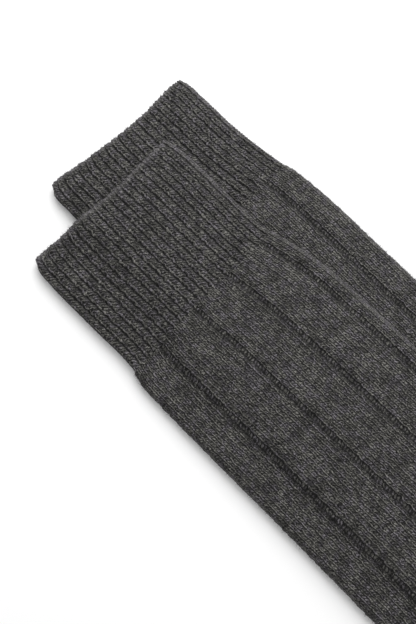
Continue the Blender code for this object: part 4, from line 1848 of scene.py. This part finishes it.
@dataclass(frozen=True)
class Softbox:
    """A large soft light that looks at the socks. Angles are in degrees, lengths in metres."""

    name: str = "key_softbox"
    heading: float = 34.0
    elevation: float = 43.0
    distance: float = 0.6
    size: float = 0.66
    power: float = 4.4

    def build(self) -> None:
        """Adds the light."""
        data = bpy.data.lights.new(self.name, "AREA")
        data.shape = "SQUARE"
        data.size, data.energy = self.size, self.power
        heading, elevation = math.radians(self.heading), math.radians(self.elevation)
        flat = math.cos(elevation)
        way = Vector((flat * math.cos(heading), flat * math.sin(heading), math.sin(elevation)))
        light = placed(self.name, data)
        light.location = TARGET + way * self.distance
        light.rotation_euler = (-way).to_track_quat("-Z", "Y").to_euler()


@dataclass
class Studio:
    """The white table, soft light from the upper right of the picture, and the camera."""

    elevation: float = math.radians(73.0)
    heading: float = math.radians(-44.5)
    distance: float = 392.9
    lens: float = 51.92
    sensor_width: float = 36.0
    floor_half: float = 3.0
    floor_drop: float = 0.0002
    floor_white: float = 0.88
    floor_roughness: float = 0.9
    surroundings: float = 0.72
    key: Softbox = Softbox()

    def place_camera(self) -> None:
        """Sets up the camera over the point that the picture's middle shows."""
        data = bpy.data.cameras.new("overhead_camera")
        data.lens, data.sensor_width = self.lens, self.sensor_width
        data.clip_start, data.clip_end = 0.01, 20.0
        flat = Vector((-math.sin(self.heading), math.cos(self.heading), 0.0))
        down = Vector((0.0, 0.0, math.sin(self.elevation)))
        forward = flat * math.cos(self.elevation) - down
        camera = placed("overhead_camera", data)
        camera.location = TARGET - forward * self.distance * MM
        camera.rotation_euler = forward.to_track_quat("-Z", "Y").to_euler()
        bpy.context.scene.camera = camera

    def lay_floor(self) -> None:
        """Adds the white table top."""
        half = self.floor_half
        mesh = bpy.data.meshes.new("white_table")
        corners = [(-half, -half, 0), (half, -half, 0), (half, half, 0), (-half, half, 0)]
        mesh.from_pydata(corners, [], [(0, 1, 2, 3)])
        graph = MaterialGraph("matt_white_paint")
        white = (self.floor_white,) * 3
        graph.shade({"Base Color": (*white, 1.0), "Roughness": self.floor_roughness})
        mesh.materials.append(graph.material)
        floor = placed("white_table", mesh)
        floor.location.z = -self.floor_drop

    def light(self) -> None:
        """Adds the window-like key light and the even white surroundings."""
        self.key.build()
        world = bpy.data.worlds.new("white_surroundings")
        world.use_nodes = True
        background = world.node_tree.nodes["Background"]
        background.inputs["Color"].default_value = (1.0, 1.0, 1.0, 1.0)
        background.inputs["Strength"].default_value = self.surroundings
        scene = bpy.context.scene
        scene.world = world
        scene.view_settings.view_transform = "Standard"
        scene.view_settings.look = "None"
        scene.view_settings.exposure = 0.0
        scene.view_settings.gamma = 1.0

    def build(self) -> None:
        """Sets up camera, floor and light."""
        self.place_camera()
        self.lay_floor()
        self.light()


@dataclass
class PairOfSocks:
    """Both socks, zone by zone."""

    plain: Knit = PlainKnit(
        "charcoal_marl_plain_knit",
        depth=0.00045,
        level=0.75,
        sway=0.34,
        crest=1.2,
        gain=1.08,
        veil=0.5,
        patchy=0.60,
    )
    rib: Knit = RibKnit(
        "charcoal_marl_rib_knit",
        depth=0.00055,
        level=0.59,
        sway=0.46,
        crest=1.4,
        gain=1.12,
        veil=0.35,
        patchy=0.44,
    )

    def zones(self, form: SockForm) -> list[KnitZone]:
        """Names the zones of one sock, from the mouth down.

        Args:
            form: The sock's form.

        Returns:
            The zones, each with how finely it is made.
        """
        return [
            CuffZone(form, Zone.CUFF, rows_per_course=3.0, inner_rows=8, halo=Halo(0.12, 6.0)),
            LegZone(form, Zone.LEG, rows_per_course=3.0, halo=Halo(0.04, 5.2)),
            KnitZone(form, Zone.FOOT, inner_rows=20),
            KnitZone(form, Zone.TOE, inner_rows=8),
        ]

    def build(self) -> None:
        """Builds every zone of both socks, dresses it, attaches it, hides the CAD part that it
        stands for and logs its faces.
        """
        plain, rib = self.plain.material(), self.rib.material()
        under = SockForm(UNDER_LAY)
        for form in (under, SockForm(TOP_LAY, rests_on=under)):
            for zone in self.zones(form):
                piece = zone.build()
                is_cuff = zone.zone is Zone.CUFF
                piece.data.materials.append(rib if is_cuff else plain)
                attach(piece, "root")
                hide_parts(zone.node)
                flat, area = zone.cut()
                LOG.info("%s: %d faces", piece.name, len(piece.data.polygons))


def main() -> None:
    """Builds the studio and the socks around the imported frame."""
    logging.basicConfig(level=logging.INFO, format="%(name)s: %(message)s")
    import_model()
    Studio().build()
    PairOfSocks().build()


if __name__ == "__main__":
    main()
